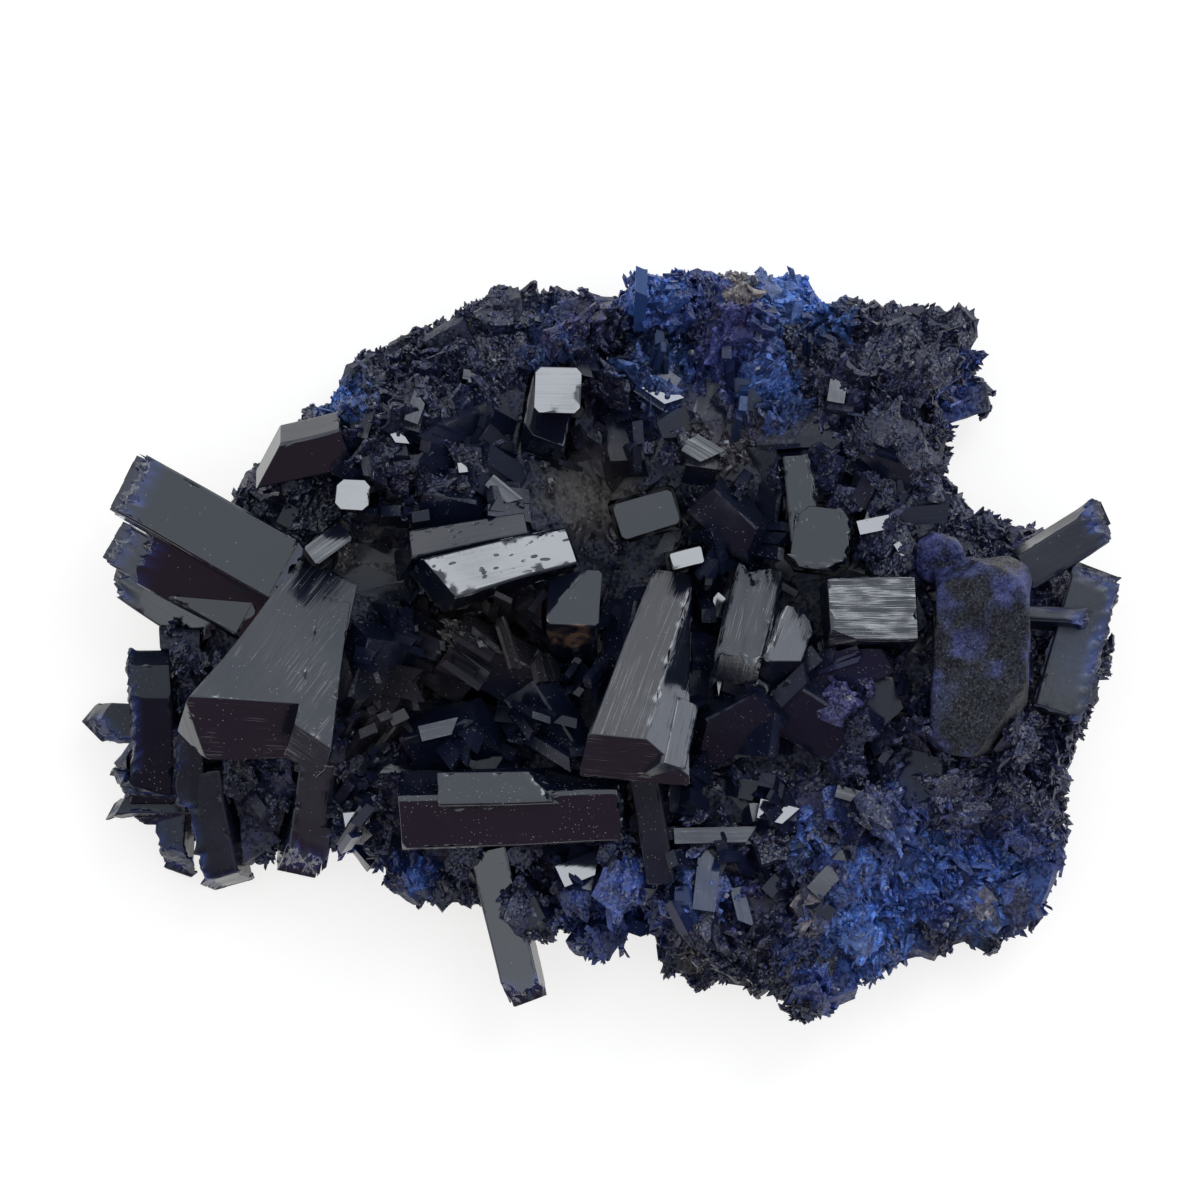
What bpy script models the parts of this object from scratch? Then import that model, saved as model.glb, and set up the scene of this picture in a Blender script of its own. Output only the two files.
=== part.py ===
"""An azurite specimen: a rough, druse-covered base with blocky azurite crystals standing in it.

Lengths are in millimetres in the tables and become metres where a mesh is made. The specimen lies on
its flat underside, +X to its right, +Y to its back and +Z up. A direction is a compass angle,
counter-clockwise from +X, and a tilt away from +Z, both in degrees.
"""

import math
import random
from typing import NamedTuple

import bmesh
import bpy
from mathutils import Matrix, Vector, noise

MM = 0.001
SOCKET_GAP = 0.3  # between a crystal and the base that it stands in
CHAMFER = 0.05  # share of a crystal's thickness taken off its long edges
SEAT_AT = 0.22  # where the base holds a crystal, as a share of its length from the root


class Crystal(NamedTuple):
    """One prism. root and tip are the ends of the centre line of its broad face."""

    root: tuple
    tip: tuple
    size: tuple  # width of the broad face, and thickness below it
    face: tuple  # direction of the broad face's normal
    ends: tuple = ()  # planes that cut the prism: compass, tilt, distance beyond the tip
    taper: float = 1.0  # section at the root over section at the tip
    chamfer: float = CHAMFER


# The large crystals. Those under one name are grown into each other, and make one solid.
LARGE = {
    "left_blades": (
        Crystal(
            (-22.0, 4.8, 11.6), (-32.3, 10.6, 10.4), (4.6, 3.2), (110, 8),
            ((152, 80, 0.4), (196, 62, 1.7)),
        ),
        Crystal((-23.9, 1.4, 8.0), (-31.7, 5.5, 8.8), (4.3, 3.0), (248, 30), ((158, 80, 0.5),)),
        Crystal(
            (-24.7, 1.6, 8.5), (-33.4, 6.4, 7.2), (3.1, 2.8), (175, 8),
            ((150, 82, 0.5), (200, 60, 1.2)),
        ),
        Crystal((-27.6, 0.2, 5.6), (-32.9, 3.6, 5.0), (2.4, 2.6), (222, 16), ((165, 82, 1.0),)),
    ),
    "striated_prism": (
        Crystal(
            (-18.9, 4.6, 10.58), (-23.1, -4.4, 17.02), (9.2, 4.2), (68, 33),
            ((282, 37, -0.1), (222, 62, 4.0)), 0.48, 0.0,
        ),
        Crystal(
            (-18.3, 2.7, 11.58), (-20.0, -6.9, 17.77), (2.8, 2.6), (68, 33),
            ((226, 38, -0.2), (300, 76, 2.0)), 0.7, 0.0,
        ),
    ),
    "corner_prisms": (
        Crystal(
            (-31.4, -11.6, 4.6), (-31.6, -2.1, 8.8), (3.1, 3.4), (268, 24),
            ((90, 4, -1.0), (90, 52, -0.4), (90, 86, 1.2)),
        ),
        Crystal((-28.6, -12.1, 6.3), (-28.9, -6.9, 8.0), (2.0, 2.6), (300, 20), ((130, 66, 0.6),)),
        Crystal(
            (-30.7, -5.9, 5.3), (-34.5, -5.8, 4.6), (2.8, 2.2), (150, 12),
            ((140, 72, 0.6), (222, 72, 0.6)),
        ),
        Crystal(
            (-26.7, -10.5, 5.0), (-33.5, -10.0, 5.2), (1.9, 2.0), (80, 14),
            ((205, 78, 0.2), (58, 24, 0.0)),
        ),
        Crystal((-26.0, -11.6, 4.3), (-33.1, -11.8, 4.4), (1.3, 1.8), (86, 10), ((150, 74, 0.4),)),
        Crystal((-26.0, -12.7, 4.5), (-32.5, -12.7, 3.8), (1.2, 1.8), (262, 36), ((190, 82, 0.3),)),
        Crystal((-28.1, -9.5, 7.0), (-26.8, -16.2, 5.4), (3.0, 3.2), (230, 20), ((282, 78, 0.5),)),
        Crystal((-29.9, -11.2, 4.3), (-30.2, -14.7, 3.8), (2.2, 2.4), (200, 18), ((245, 66, 0.2),)),
    ),
    "south_west_tip": (
        Crystal(
            (-19.5, -9.0, 8.1), (-20.4, -15.0, 6.0), (3.0, 3.2), (300, 24),
            ((262, 74, 0.5), (226, 64, 0.7)),
        ),
    ),
    "square_crystals": (
        Crystal(
            (-3.1, 15.6, 8.4), (-3.1, 15.6, 16.4), (3.2, 3.1), (268, 90),
            ((55, 21, 0.5),), 1.0, 0.12,
        ),
        Crystal(
            (-3.2, 18.0, 10.7), (-3.9, 14.4, 12.8), (3.2, 2.8), (80, 30),
            ((248, 62, 0.6), (205, 64, 0.9)),
        ),
    ),
    "west_white_crystal": (
        Crystal((-17.3, 8.9, 6.5), (-17.3, 8.9, 14.0), (2.4, 2.2), (266, 90), ((55, 21, 0.3),), 1.0, 0.2),
    ),
    "pale_crystal": (
        Crystal(
            (-18.4, 5.9, 6.2), (-18.4, 5.9, 12.9), (3.1, 1.6), (307, 90),
            ((62, 27, 0.2),), 1.0, 0.12,
        ),
    ),
    "brown_prism": (
        Crystal((-17.7, 13.3, 12.9), (-22.5, 12.1, 11.8), (3.2, 2.6), (264, 33), ((160, 78, 0.5),)),
    ),
    "spotted_prism": (
        Crystal(
            (-2.2, 6.5, 13.8), (-11.0, 4.2, 16.0), (3.4, 3.0), (62, 20),
            ((219, 64, 0.2), (128, 56, 1.4)), 0.8, 0.06,
        ),
        Crystal((-5.2, 8.0, 13.6), (-12.4, 6.7, 13.9), (2.2, 2.8), (112, 30), ((175, 70, 0.8),), 0.8),
    ),
    "bronze_prism": (
        Crystal(
            (-2.0, -1.9, 8.8), (-2.0, 1.1, 15.7), (3.6, 4.0), (268, 66),
            ((82, 15, -0.3), (129, 50, 0.9), (214, 60, 2.0)), 1.0, 0.06,
        ),
    ),
    "horn_crystal": (
        Crystal(
            (4.9, 4.6, 12.0), (2.7, -6.7, 17.4), (7.0, 3.2), (88, 26),
            ((262, 38, 0.1), (17, 40, 0.3)), 0.4,
        ),
        Crystal((6.1, -4.3, 14.6), (5.3, -7.9, 16.1), (2.2, 2.2), (17, 40), ((275, 60, 0.9),), 1.0, 0.1),
    ),
    "north_facet": (
        Crystal(
            (3.4, 7.4, 7.4), (3.4, 7.4, 14.4), (4.3, 2.6), (285, 90),
            ((78, 12, 0.2), (140, 50, 2.3)), 1.0, 0.1,
        ),
    ),
    "small_white_facet": (
        Crystal((6.0, 4.9, 7.7), (6.0, 4.9, 14.2), (2.3, 1.2), (283, 90), ((56, 22, 0.2),), 1.0, 0.1),
    ),
    "grey_prism": (
        Crystal(
            (11.0, 5.5, 12.5), (9.5, -0.9, 16.6), (3.2, 3.4), (78, 32),
            ((262, 52, 0.1), (92, 60, 7.2)),
        ),
        Crystal(
            (13.8, 2.5, 13.7), (12.6, -0.9, 15.0), (2.9, 3.0), (20, 30),
            ((290, 58, 0.6), (250, 60, 1.2), (10, 80, 1.9)),
        ),
    ),
    "shoulder_crystals": (
        Crystal((14.0, 6.8, 14.7), (13.5, 12.1, 14.0), (2.1, 2.8), (84, 8), ((92, 80, 0.5),)),
        Crystal(
            (14.9, 4.8, 7.4), (14.9, 4.8, 14.9), (4.2, 4.3), (262, 90),
            ((88, 12, 0.4), (226, 52, 2.4), (330, 60, 2.3)), 1.0, 0.2,
        ),
    ),
    "bright_prism": (
        Crystal(
            (21.7, 2.1, 14.1), (16.4, 2.1, 14.8), (4.5, 3.2), (57, 15),
            ((180, 80, 0.8), (252, 52, 1.5)),
        ),
    ),
    "druse_blade": (
        Crystal(
            (25.9, -8.2, 14.5), (26.3, 4.1, 16.2), (6.5, 3.4), (262, 8),
            ((60, 74, 1.2), (118, 72, 0.9), (86, 80, 1.0), (12, 78, 2.6),
             (324, 76, 6.2), (232, 76, 10.2), (275, 80, 12.2)),
        ),
        Crystal(
            (22.9, 3.8, 7.9), (22.9, 3.8, 13.4), (3.1, 3.2), (255, 90),
            ((250, 32, -0.8),), 1.0, 0.24,
        ),
    ),
    "right_crystals": (
        Crystal((29.5, 4.6, 10.0), (34.5, 7.6, 9.8), (2.7, 3.0), (310, 14), ((24, 82, 0.6),)),
        Crystal(
            (31.8, -5.0, 10.9), (34.4, 3.6, 9.4), (3.8, 2.4), (50, 10),
            ((66, 82, 0.9), (300, 80, 7.6)),
        ),
        Crystal((33.9, 1.8, 11.1), (29.6, 1.9, 11.2), (1.0, 2.4), (84, 20), ()),
    ),
    "long_bar": (
        Crystal(
            (-14.0, -12.8, 12.4), (0.7, -12.4, 13.2), (4.2, 4.0), (266, 28),
            ((0, 80, 0.7), (232, 62, 8.4)), 1.0, 0.06,
        ),
        Crystal(
            (-11.3, -10.3, 13.9), (-4.3, -10.2, 13.8), (2.4, 3.0), (88, 14),
            ((40, 66, 0.2), (180, 74, 7.8)),
        ),
    ),
    "leaning_blade": (
        Crystal(
            (4.1, -17.1, 10.9), (2.6, -7.9, 13.6), (2.0, 2.2), (260, 16),
            ((98, 66, 0.8), (150, 70, 0.1), (262, 74, 7.8)),
        ),
    ),
    "lower_blade": (
        Crystal(
            (-8.1, -14.7, 7.4), (-5.8, -24.0, 6.4), (2.7, 2.3), (220, 14),
            ((286, 76, 0.8), (240, 66, 0.7)),
        ),
    ),
}

# Smaller crystals with facets of their own, grown on the base and one with it.
MEDIUM = (
    Crystal((-12.8, 17.7, 11.9), (-13.2, 15.2, 12.8), (1.5, 1.8), (88, 20), ((250, 60, 0.7),), 1.0, 0.0),
    Crystal((-14.6, 15.7, 11.2), (-13.9, 13.2, 12.4), (1.0, 1.4), (100, 24), ((262, 60, 0.6),), 1.0, 0.0),
    Crystal((-8.2, 20.7, 11.5), (-8.5, 18.2, 12.6), (2.6, 1.8), (86, 24), ((262, 60, 0.8),), 1.0, 0.0),
    Crystal((4.6, 18.7, 11.7), (3.5, 16.9, 12.6), (2.4, 1.8), (52, 22), ((240, 60, 0.5),), 1.0, 0.0),
    Crystal((1.4, 15.5, 10.9), (1.8, 13.0, 12.2), (2.4, 2.0), (100, 28), ((270, 55, 0.6),), 1.0, 0.0),
    Crystal((7.8, 14.8, 11.0), (7.1, 12.5, 12.2), (2.2, 2.0), (78, 28), ((262, 55, 0.6),), 1.0, 0.0),
    Crystal((19.6, 9.2, 12.2), (19.0, 7.5, 13.0), (1.9, 1.8), (72, 24), ((262, 60, 0.5),), 1.0, 0.0),
    Crystal((16.5, 18.7, 12.4), (16.4, 16.4, 13.0), (1.8, 1.8), (88, 16), ((262, 60, 0.6),), 1.0, 0.0),
    Crystal((-7.0, 12.3, 11.1), (-6.4, 9.9, 12.0), (1.9, 1.6), (60, 28), ((262, 60, 0.6),), 1.0, 0.0),
    Crystal((-16.7, 15.9, 11.4), (-17.0, 14.4, 12.0), (1.8, 1.6), (90, 22), ((262, 60, 0.4),), 1.0, 0.0),
    Crystal((-16.0, 13.4, 11.9), (-15.7, 11.2, 12.0), (1.9, 1.8), (10, 36), ((262, 66, 0.2),), 1.0, 0.0),
    Crystal((-25.2, 9.6, 9.7), (-26.5, 11.6, 9.0), (1.7, 1.8), (120, 16), ((120, 68, 0.4),), 1.0, 0.0),
    Crystal((-12.5, 4.6, 11.0), (-13.8, 2.7, 12.2), (1.0, 1.6), (40, 28), ((230, 60, 0.4),), 1.0, 0.0),
    Crystal((-11.5, -4.3, 7.6), (-11.1, -7.1, 9.0), (2.8, 1.8), (80, 28), ((262, 55, 0.6),), 1.0, 0.0),
    Crystal((-5.1, -4.3, 9.4), (-5.1, -6.5, 10.2), (1.1, 1.4), (56, 24), ((262, 60, 0.4),), 1.0, 0.0),
    Crystal((-16.8, -11.2, 7.6), (-17.0, -13.0, 8.2), (1.7, 1.6), (55, 21), ((262, 66, 0.6),), 1.0, 0.0),
    Crystal((8.1, 3.4, 12.4), (7.8, 1.4, 13.2), (1.0, 1.4), (60, 24), ((262, 60, 0.3),), 1.0, 0.0),
    Crystal((-1.1, -14.4, 8.0), (-1.7, -16.8, 9.0), (2.2, 1.8), (60, 24), ((262, 66, 0.6),), 1.0, 0.0),
    Crystal((6.1, -10.0, 9.8), (5.6, -11.6, 10.6), (2.4, 1.8), (86, 26), ((262, 60, 0.5),), 1.0, 0.0),
    Crystal((11.8, -13.7, 10.7), (4.9, -13.7, 10.8), (1.2, 1.8), (86, 16), ((180, 70, 0.4),), 1.0, 0.0),
    Crystal((13.5, -12.1, 10.8), (10.7, -12.1, 11.2), (1.3, 1.8), (70, 22), ((180, 66, 0.3),), 1.0, 0.0),
    Crystal((6.8, -14.6, 7.5), (6.7, -19.3, 8.2), (1.1, 1.6), (30, 16), ((262, 70, 0.4),), 1.0, 0.0),
    Crystal((8.5, -14.7, 8.1), (8.3, -20.3, 8.0), (1.8, 2.0), (180, 20), ((262, 70, 0.6),), 1.0, 0.0),
    Crystal((10.1, -15.7, 7.4), (9.9, -19.7, 8.4), (1.3, 1.6), (60, 16), ((262, 70, 0.6),), 1.0, 0.0),
    Crystal((14.2, -18.2, 10.7), (17.8, -14.7, 10.6), (1.9, 2.2), (130, 22), ((45, 68, 0.5),), 1.0, 0.0),
    Crystal((19.7, -11.6, 11.0), (17.0, -11.2, 11.0), (1.3, 1.8), (80, 20), ((170, 68, 0.3),), 1.0, 0.0),
    Crystal((-5.7, 22.3, 11.6), (-7.1, 20.6, 11.8), (2.3, 2.2), (130, 26), ((225, 60, 0.4),), 1.0, 0.0),
    Crystal((-0.4, 22.0, 11.0), (-1.5, 20.3, 12.0), (1.8, 2.0), (40, 28), ((225, 60, 0.4),), 1.0, 0.0),
    Crystal((9.3, 23.8, 13.5), (9.0, 21.3, 12.6), (3.2, 2.6), (262, 20), ((275, 60, 0.4),), 1.0, 0.0),
    Crystal((21.1, 6.8, 12.4), (20.6, 5.7, 13.0), (0.8, 1.4), (58, 24), ((250, 60, 0.4),), 1.0, 0.0),
    Crystal((18.5, 11.0, 13.2), (17.9, 9.6, 12.8), (1.2, 1.6), (300, 24), ((250, 60, 0.3),), 1.0, 0.0),
    Crystal((-29.2, -1.6, 7.0), (-29.3, -0.1, 6.6), (2.8, 2.2), (92, 14), ((90, 70, 0.5),), 1.0, 0.0),
    Crystal((-19.7, 11.3, 10.7), (-19.9, 9.6, 11.0), (1.4, 1.6), (150, 26), ((250, 60, 0.5),), 1.0, 0.0),
    Crystal((-9.2, -3.6, 9.8), (-14.0, -0.8, 10.6), (3.6, 2.4), (250, 40), ((150, 66, 0.8),)),
    Crystal((-10.6, -0.8, 12.5), (-5.0, -3.6, 11.0), (3.8, 2.6), (262, 38), ((330, 60, 0.6),)),
    Crystal((-5.7, -3.6, 11.7), (-1.7, -9.5, 11.6), (3.1, 2.4), (215, 40), ((300, 60, 0.6),)),
    Crystal((-13.3, -8.4, 8.6), (-8.5, -7.1, 10.4), (3.7, 2.6), (262, 42), ((20, 60, 0.7),)),
    Crystal((-2.9, -0.1, 10.7), (-5.7, 2.7, 11.4), (3.0, 2.4), (240, 34), ((130, 60, 0.7),)),
    Crystal((11.7, -4.3, 12.8), (16.5, -7.1, 12.2), (4.3, 3.0), (250, 34), ((320, 56, 0.6),)),
    Crystal((19.3, -0.8, 13.9), (15.2, -2.6, 12.6), (3.6, 2.6), (258, 26), ((195, 60, 0.6),)),
    Crystal((11.7, -5.0, 13.7), (7.6, -7.3, 11.4), (3.7, 2.6), (262, 38), ((200, 56, 0.4),)),
    Crystal((21.1, -5.7, 12.0), (22.0, -10.5, 12.0), (4.0, 2.8), (190, 26), ((282, 60, 0.6),)),
    Crystal((10.6, 8.2, 10.7), (11.1, 12.4, 12.2), (3.3, 2.4), (200, 38), ((95, 66, 0.7),)),
    Crystal((-9.3, 11.0, 10.6), (-9.7, 14.5, 12.2), (3.4, 2.4), (330, 38), ((100, 66, 0.8),)),
    Crystal((1.3, 2.7, 11.2), (0.6, -1.5, 11.8), (2.7, 2.4), (160, 40), ((262, 60, 0.5),)),
    Crystal((6.8, 9.6, 13.1), (9.7, 6.8, 12.6), (2.9, 2.4), (240, 30), ((320, 60, 0.5),)),
    Crystal((18.6, 13.8, 13.1), (21.1, 11.0, 13.0), (3.5, 2.6), (225, 30), ((315, 60, 0.5),)),
    Crystal((-14.6, -0.1, 11.8), (-16.0, -4.3, 10.4), (3.5, 2.6), (320, 40), ((262, 60, 0.4),)),
    Crystal((-12.6, 8.9, 12.1), (-8.5, 8.2, 12.0), (2.9, 2.2), (262, 36), ((10, 60, 0.4),)),
    Crystal((6.8, -0.1, 13.3), (6.8, -3.6, 12.0), (2.4, 2.4), (330, 36), ((270, 60, 0.5),)),
)

# The base's outline seen from above, counter-clockwise from the right.
OUTLINE = (
    (35.4, -0.2), (33.9, 3.4), (32.6, 6.6), (30.0, 7.4), (27.5, 8.0), (25.3, 8.9), (24.6, 10.9),
    (22.6, 12.0), (24.6, 14.4), (24.4, 15.8), (26.0, 17.5), (27.0, 20.8), (25.9, 23.4),
    (24.8, 24.6), (21.9, 23.3), (17.7, 22.2), (16.5, 21.5), (15.8, 24.7), (13.9, 25.4),
    (11.5, 24.1), (10.3, 23.1), (9.2, 25.2), (6.2, 25.9), (3.0, 24.5), (1.0, 21.9), (0.0, 22.0),
    (-2.5, 25.1), (-5.3, 22.8), (-8.6, 24.0), (-10.7, 21.9), (-12.5, 21.1), (-15.9, 20.1),
    (-18.6, 18.9), (-19.0, 15.2), (-20.8, 13.7), (-23.9, 11.3), (-26.2, 9.6), (-27.6, 5.4),
    (-28.4, 1.2), (-30.2, -1.6), (-32.0, -4.6), (-31.6, -8.6), (-32.0, -11.4), (-30.4, -13.8),
    (-27.6, -14.8), (-24.4, -14.2), (-20.4, -14.6), (-17.1, -14.2), (-14.8, -16.4), (-12.3, -18.5),
    (-8.8, -18.4), (-5.6, -18.2), (-3.0, -19.2), (-0.6, -19.7), (3.1, -20.5), (6.0, -21.8),
    (8.7, -24.1), (12.0, -25.4), (13.4, -23.2), (15.5, -24.7), (16.3, -22.7), (19.3, -23.0),
    (21.2, -21.0), (24.5, -22.2), (27.2, -21.2), (28.3, -19.0), (30.9, -18.4), (31.1, -15.6),
    (32.1, -12.7), (32.2, -9.6), (33.5, -6.7), (34.6, -3.6),
)
MIDDLE = (0.0, -1.0)  # the outline is drawn round this point, and every ray from it crosses it once

# Mounds and hollows of the base's upper side: place, radius and rise.
PLATEAU = 7.8
MOUNDS = (
    (-4.0, 18.0, 9.0, 3.4), (-14.0, 14.0, 6.5, 2.6), (8.0, 19.0, 8.0, 3.6), (22.0, 17.0, 7.5, 4.8),
    (13.0, 10.0, 7.0, 2.6), (22.0, 7.0, 6.0, 2.4), (27.0, -2.0, 7.5, 4.4), (28.0, -13.0, 7.0, 3.0),
    (18.0, -15.0, 7.0, 2.4), (9.0, -18.0, 6.0, 1.2), (-21.0, 2.0, 6.5, 2.6), (-7.0, -13.0, 7.0, 2.0),
    (-9.5, -4.0, 5.5, -2.8), (14.0, -2.0, 6.0, 1.6), (-5.0, 6.5, 4.5, 3.0), (-20.0, -5.0, 5.5, 1.8),
    (4.0, 1.0, 4.0, 2.2), (-27.0, -8.0, 5.0, -1.6),
)
RIM_HEIGHT = 3.6
# The rings under the rim: shares of the outline's reach, and of the rim's height.
UNDERSIDE = ((0.96, 0.5), (0.86, 0.0), (0.6, 0.0), (0.3, 0.0), (0.0, 0.0))
ROUGHNESS = ((5.2, 1.1), (2.4, 0.5))  # wavelength and height of the base's unevenness
SECTORS, RINGS = 52, 13

# The small crystals that repeat over the base and round its rim.
SMALL_SEED = 11
RIM_TEETH = 50
SCATTERED = 98
TOOTH_LENGTH, TOOTH_WIDTH = (2.7, 3.9), (1.4, 3.2)
SCATTER_LENGTH, SCATTER_WIDTH = (3.6, 6.0), (1.4, 2.2)
OUTER_WIDTH = 2.6  # scattered crystals may be this much wider near the rim


def direction(compass, tilt):
    """Unit vector of a compass angle and a tilt from +Z, in degrees."""
    c, t = math.radians(compass), math.radians(tilt)
    return Vector((math.sin(t) * math.cos(c), math.sin(t) * math.sin(c), math.cos(t)))


def cut(mesh, point, normal):
    """Takes off what lies beyond a plane, and closes the cut with one flat face."""
    geometry = mesh.verts[:] + mesh.edges[:] + mesh.faces[:]
    found = bmesh.ops.bisect_plane(mesh, geom=geometry, plane_co=point, plane_no=normal, clear_outer=True)
    rim = [e for e in found["geom_cut"] if isinstance(e, bmesh.types.BMEdge)]
    if rim:
        bmesh.ops.contextual_create(mesh, geom=rim)


def crystal_mesh(crystal, grow=0.0):
    """A chamfered prism from root to tip, cut by its end planes. grow moves every face outwards."""
    root, tip = Vector(crystal.root), Vector(crystal.tip)
    along = (tip - root).normalized()
    out = direction(*crystal.face)
    out = (out - along * out.dot(along)).normalized()
    across = out.cross(along)
    width, thick = crystal.size
    spare = max(width, thick) if crystal.ends else grow
    length = (tip - root).length + spare + grow
    mesh = bmesh.new()
    bmesh.ops.create_cube(mesh, size=1.0)
    bmesh.ops.scale(mesh, vec=(width + 2 * grow, thick + 2 * grow, length), verts=mesh.verts)
    bmesh.ops.translate(mesh, vec=(0, -thick / 2, length / 2 - grow), verts=mesh.verts)
    long_edges = [e for e in mesh.edges if abs(e.verts[0].co.z - e.verts[1].co.z) > length / 2]
    offset = crystal.chamfer * thick
    if offset:
        bmesh.ops.bevel(mesh, geom=long_edges, offset=offset, segments=1, affect="EDGES")
    for vert in mesh.verts:
        share = crystal.taper + (1 - crystal.taper) * vert.co.z / (tip - root).length
        vert.co.x *= share
        vert.co.y *= share
    frame = Matrix((across, out, along)).transposed().to_4x4()
    mesh.transform(Matrix.Translation(root) @ frame)
    for compass, tilt, beyond in crystal.ends:
        normal = direction(compass, tilt)
        cut(mesh, tip + normal * (beyond + grow), normal)
    bmesh.ops.recalc_face_normals(mesh, faces=mesh.faces)
    mesh.transform(Matrix.Scale(MM, 4))
    return mesh


def add_object(name, mesh, collection):
    """An object that holds a bmesh, which is freed."""
    data = bpy.data.meshes.new(name)
    mesh.to_mesh(data)
    mesh.free()
    obj = bpy.data.objects.new(name, data)
    collection.objects.link(obj)
    return obj


def add_tool(name, mesh, collection):
    """A shape that only joins or cuts others."""
    obj = add_object(name, mesh, collection)
    obj.hide_render = True
    obj.display_type = "WIRE"
    return obj


def combine(obj, tools, operation):
    """Joins or cuts obj by every tool of a collection, for good."""
    modifier = obj.modifiers.new(operation.lower(), "BOOLEAN")
    modifier.operation = operation
    modifier.operand_type = "COLLECTION"
    modifier.collection = tools
    bpy.context.view_layer.update()
    evaluated = obj.evaluated_get(bpy.context.evaluated_depsgraph_get())
    data = bpy.data.meshes.new_from_object(evaluated)
    obj.modifiers.clear()
    obj.data = data


def drop_crumbs(obj):
    """Keeps the largest connected body of a mesh: a cut can leave loose crumbs beside a socket."""
    mesh = bmesh.new()
    mesh.from_mesh(obj.data)
    left, bodies = set(mesh.verts), []
    while left:
        stack, body = [left.pop()], []
        while stack:
            vert = stack.pop()
            body.append(vert)
            for edge in vert.link_edges:
                other = edge.other_vert(vert)
                if other in left:
                    left.remove(other)
                    stack.append(other)
        bodies.append(body)
    bodies.sort(key=len)
    for body in bodies[:-1]:
        bmesh.ops.delete(mesh, geom=body, context="VERTS")
    mesh.to_mesh(obj.data)
    mesh.free()


def reach(compass):
    """Distance from the middle to the outline in a compass direction, in radians."""
    ray = Vector((math.cos(compass), math.sin(compass)))
    middle = Vector(MIDDLE)
    for start, end in zip(OUTLINE, OUTLINE[1:] + OUTLINE[:1]):
        a, side = Vector(start) - middle, Vector(end) - Vector(start)
        turn = ray.cross(side)
        if abs(turn) < 1e-9:
            continue
        far, share = a.cross(side) / turn, a.cross(ray) / turn
        if far > 0 and -1e-9 <= share <= 1 + 1e-9:
            return far
    raise ValueError("the outline isn't closed round the middle")


def unevenness(x, y, z):
    return sum(height * noise.noise(Vector((x, y, z)) / wave) for wave, height in ROUGHNESS)


def upper_height(x, y, share):
    """Height of the base's upper side, which comes down to the rim where share of the reach is 1."""
    top = PLATEAU + unevenness(x, y, 0.0)
    for mx, my, radius, rise in MOUNDS:
        top += rise * math.exp(-((x - mx) ** 2 + (y - my) ** 2) / radius**2)
    return RIM_HEIGHT + (top - RIM_HEIGHT) * (1 - share**5)


def base_point(compass, ring):
    """Place of the base's surface point on ring 0, at the top, to RINGS, under the middle."""
    rim_ring = RINGS - 5
    far = reach(compass)
    if ring <= rim_ring:
        share = ring / rim_ring
        height = None
    else:
        share, height = UNDERSIDE[ring - rim_ring - 1]
    x = MIDDLE[0] + math.cos(compass) * far * share
    y = MIDDLE[1] + math.sin(compass) * far * share
    z = upper_height(x, y, share) if height is None else height * RIM_HEIGHT
    return Vector((x, y, z))


def make_base(collection):
    """A sphere's rings drawn out to the outline, with mounds above and one flat face below."""
    mesh = bmesh.new()
    bmesh.ops.create_uvsphere(mesh, u_segments=SECTORS, v_segments=RINGS, radius=1.0)
    for vert in mesh.verts:
        ring = round(math.acos(max(-1.0, min(1.0, vert.co.z))) / math.pi * RINGS)
        vert.co = base_point(math.atan2(vert.co.y, vert.co.x), ring)
    underside = [f for f in mesh.faces if all(abs(v.co.z) < 1e-6 for v in f.verts)]
    bmesh.ops.dissolve_faces(mesh, faces=underside, use_verts=True)
    bmesh.ops.recalc_face_normals(mesh, faces=mesh.faces)
    mesh.transform(Matrix.Scale(MM, 4))
    return add_object("druse_matrix", mesh, collection)


def seat_mesh(crystal):
    """A knob of the base that rises into the underside of a large crystal near its root."""
    root, tip = Vector(crystal.root), Vector(crystal.tip)
    along = (tip - root).normalized()
    out = direction(*crystal.face)
    out = (out - along * out.dot(along)).normalized()
    share = crystal.taper + (1 - crystal.taper) * SEAT_AT
    place = root.lerp(tip, SEAT_AT) - out * crystal.size[1] * share * 0.6
    foot = min(place.z, 6.0) - 3.0
    wide = crystal.size[0] * share
    mesh = bmesh.new()
    bmesh.ops.create_cone(
        mesh, cap_ends=True, segments=5, radius1=0.9 * wide, radius2=0.5 * wide, depth=place.z - foot)
    turn = Matrix.Rotation(math.atan2(along.y, along.x), 4, "Z")
    mesh.transform(Matrix.Translation((place.x, place.y, (place.z + foot) / 2)) @ turn)
    mesh.transform(Matrix.Scale(MM, 4))
    return mesh


def clear_of_large(x, y, room):
    """True where no large crystal's broad face lies over a place."""
    place = Vector((x, y))
    for crystals in LARGE.values():
        for crystal in crystals:
            a, b = Vector(crystal.root[:2]), Vector(crystal.tip[:2])
            span = b - a
            share = max(0.0, min(1.0, (place - a).dot(span) / max(span.length_squared, 1e-9)))
            if (a + span * share - place).length < crystal.size[0] / 2 + room:
                return False
    return True


def small_crystal(foot, lean, lengths, widths, chance):
    """A small prism with a chisel end. foot is its buried end, and it leans along lean."""
    lean = lean.normalized()
    width = chance.uniform(*widths)
    size = (width, width * chance.uniform(0.4, 0.8))
    end = foot + lean * chance.uniform(*lengths)
    compass = math.degrees(math.atan2(lean.y, lean.x))
    tilt = math.degrees(math.acos(max(-1.0, min(1.0, lean.z))))
    if tilt > 60:
        face = (compass + chance.uniform(-60, 60), tilt - 90)
    else:
        face = (chance.uniform(0, 360), 80)
    blunt = (compass + chance.uniform(-22, 22), 0.5 * tilt + 40, 0.0)
    chisel = (compass + 180, max(40 - tilt, 4), 0.2)
    return Crystal(tuple(foot), tuple(end), size, face, (blunt, chisel), 1.0, 0.0)


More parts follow.
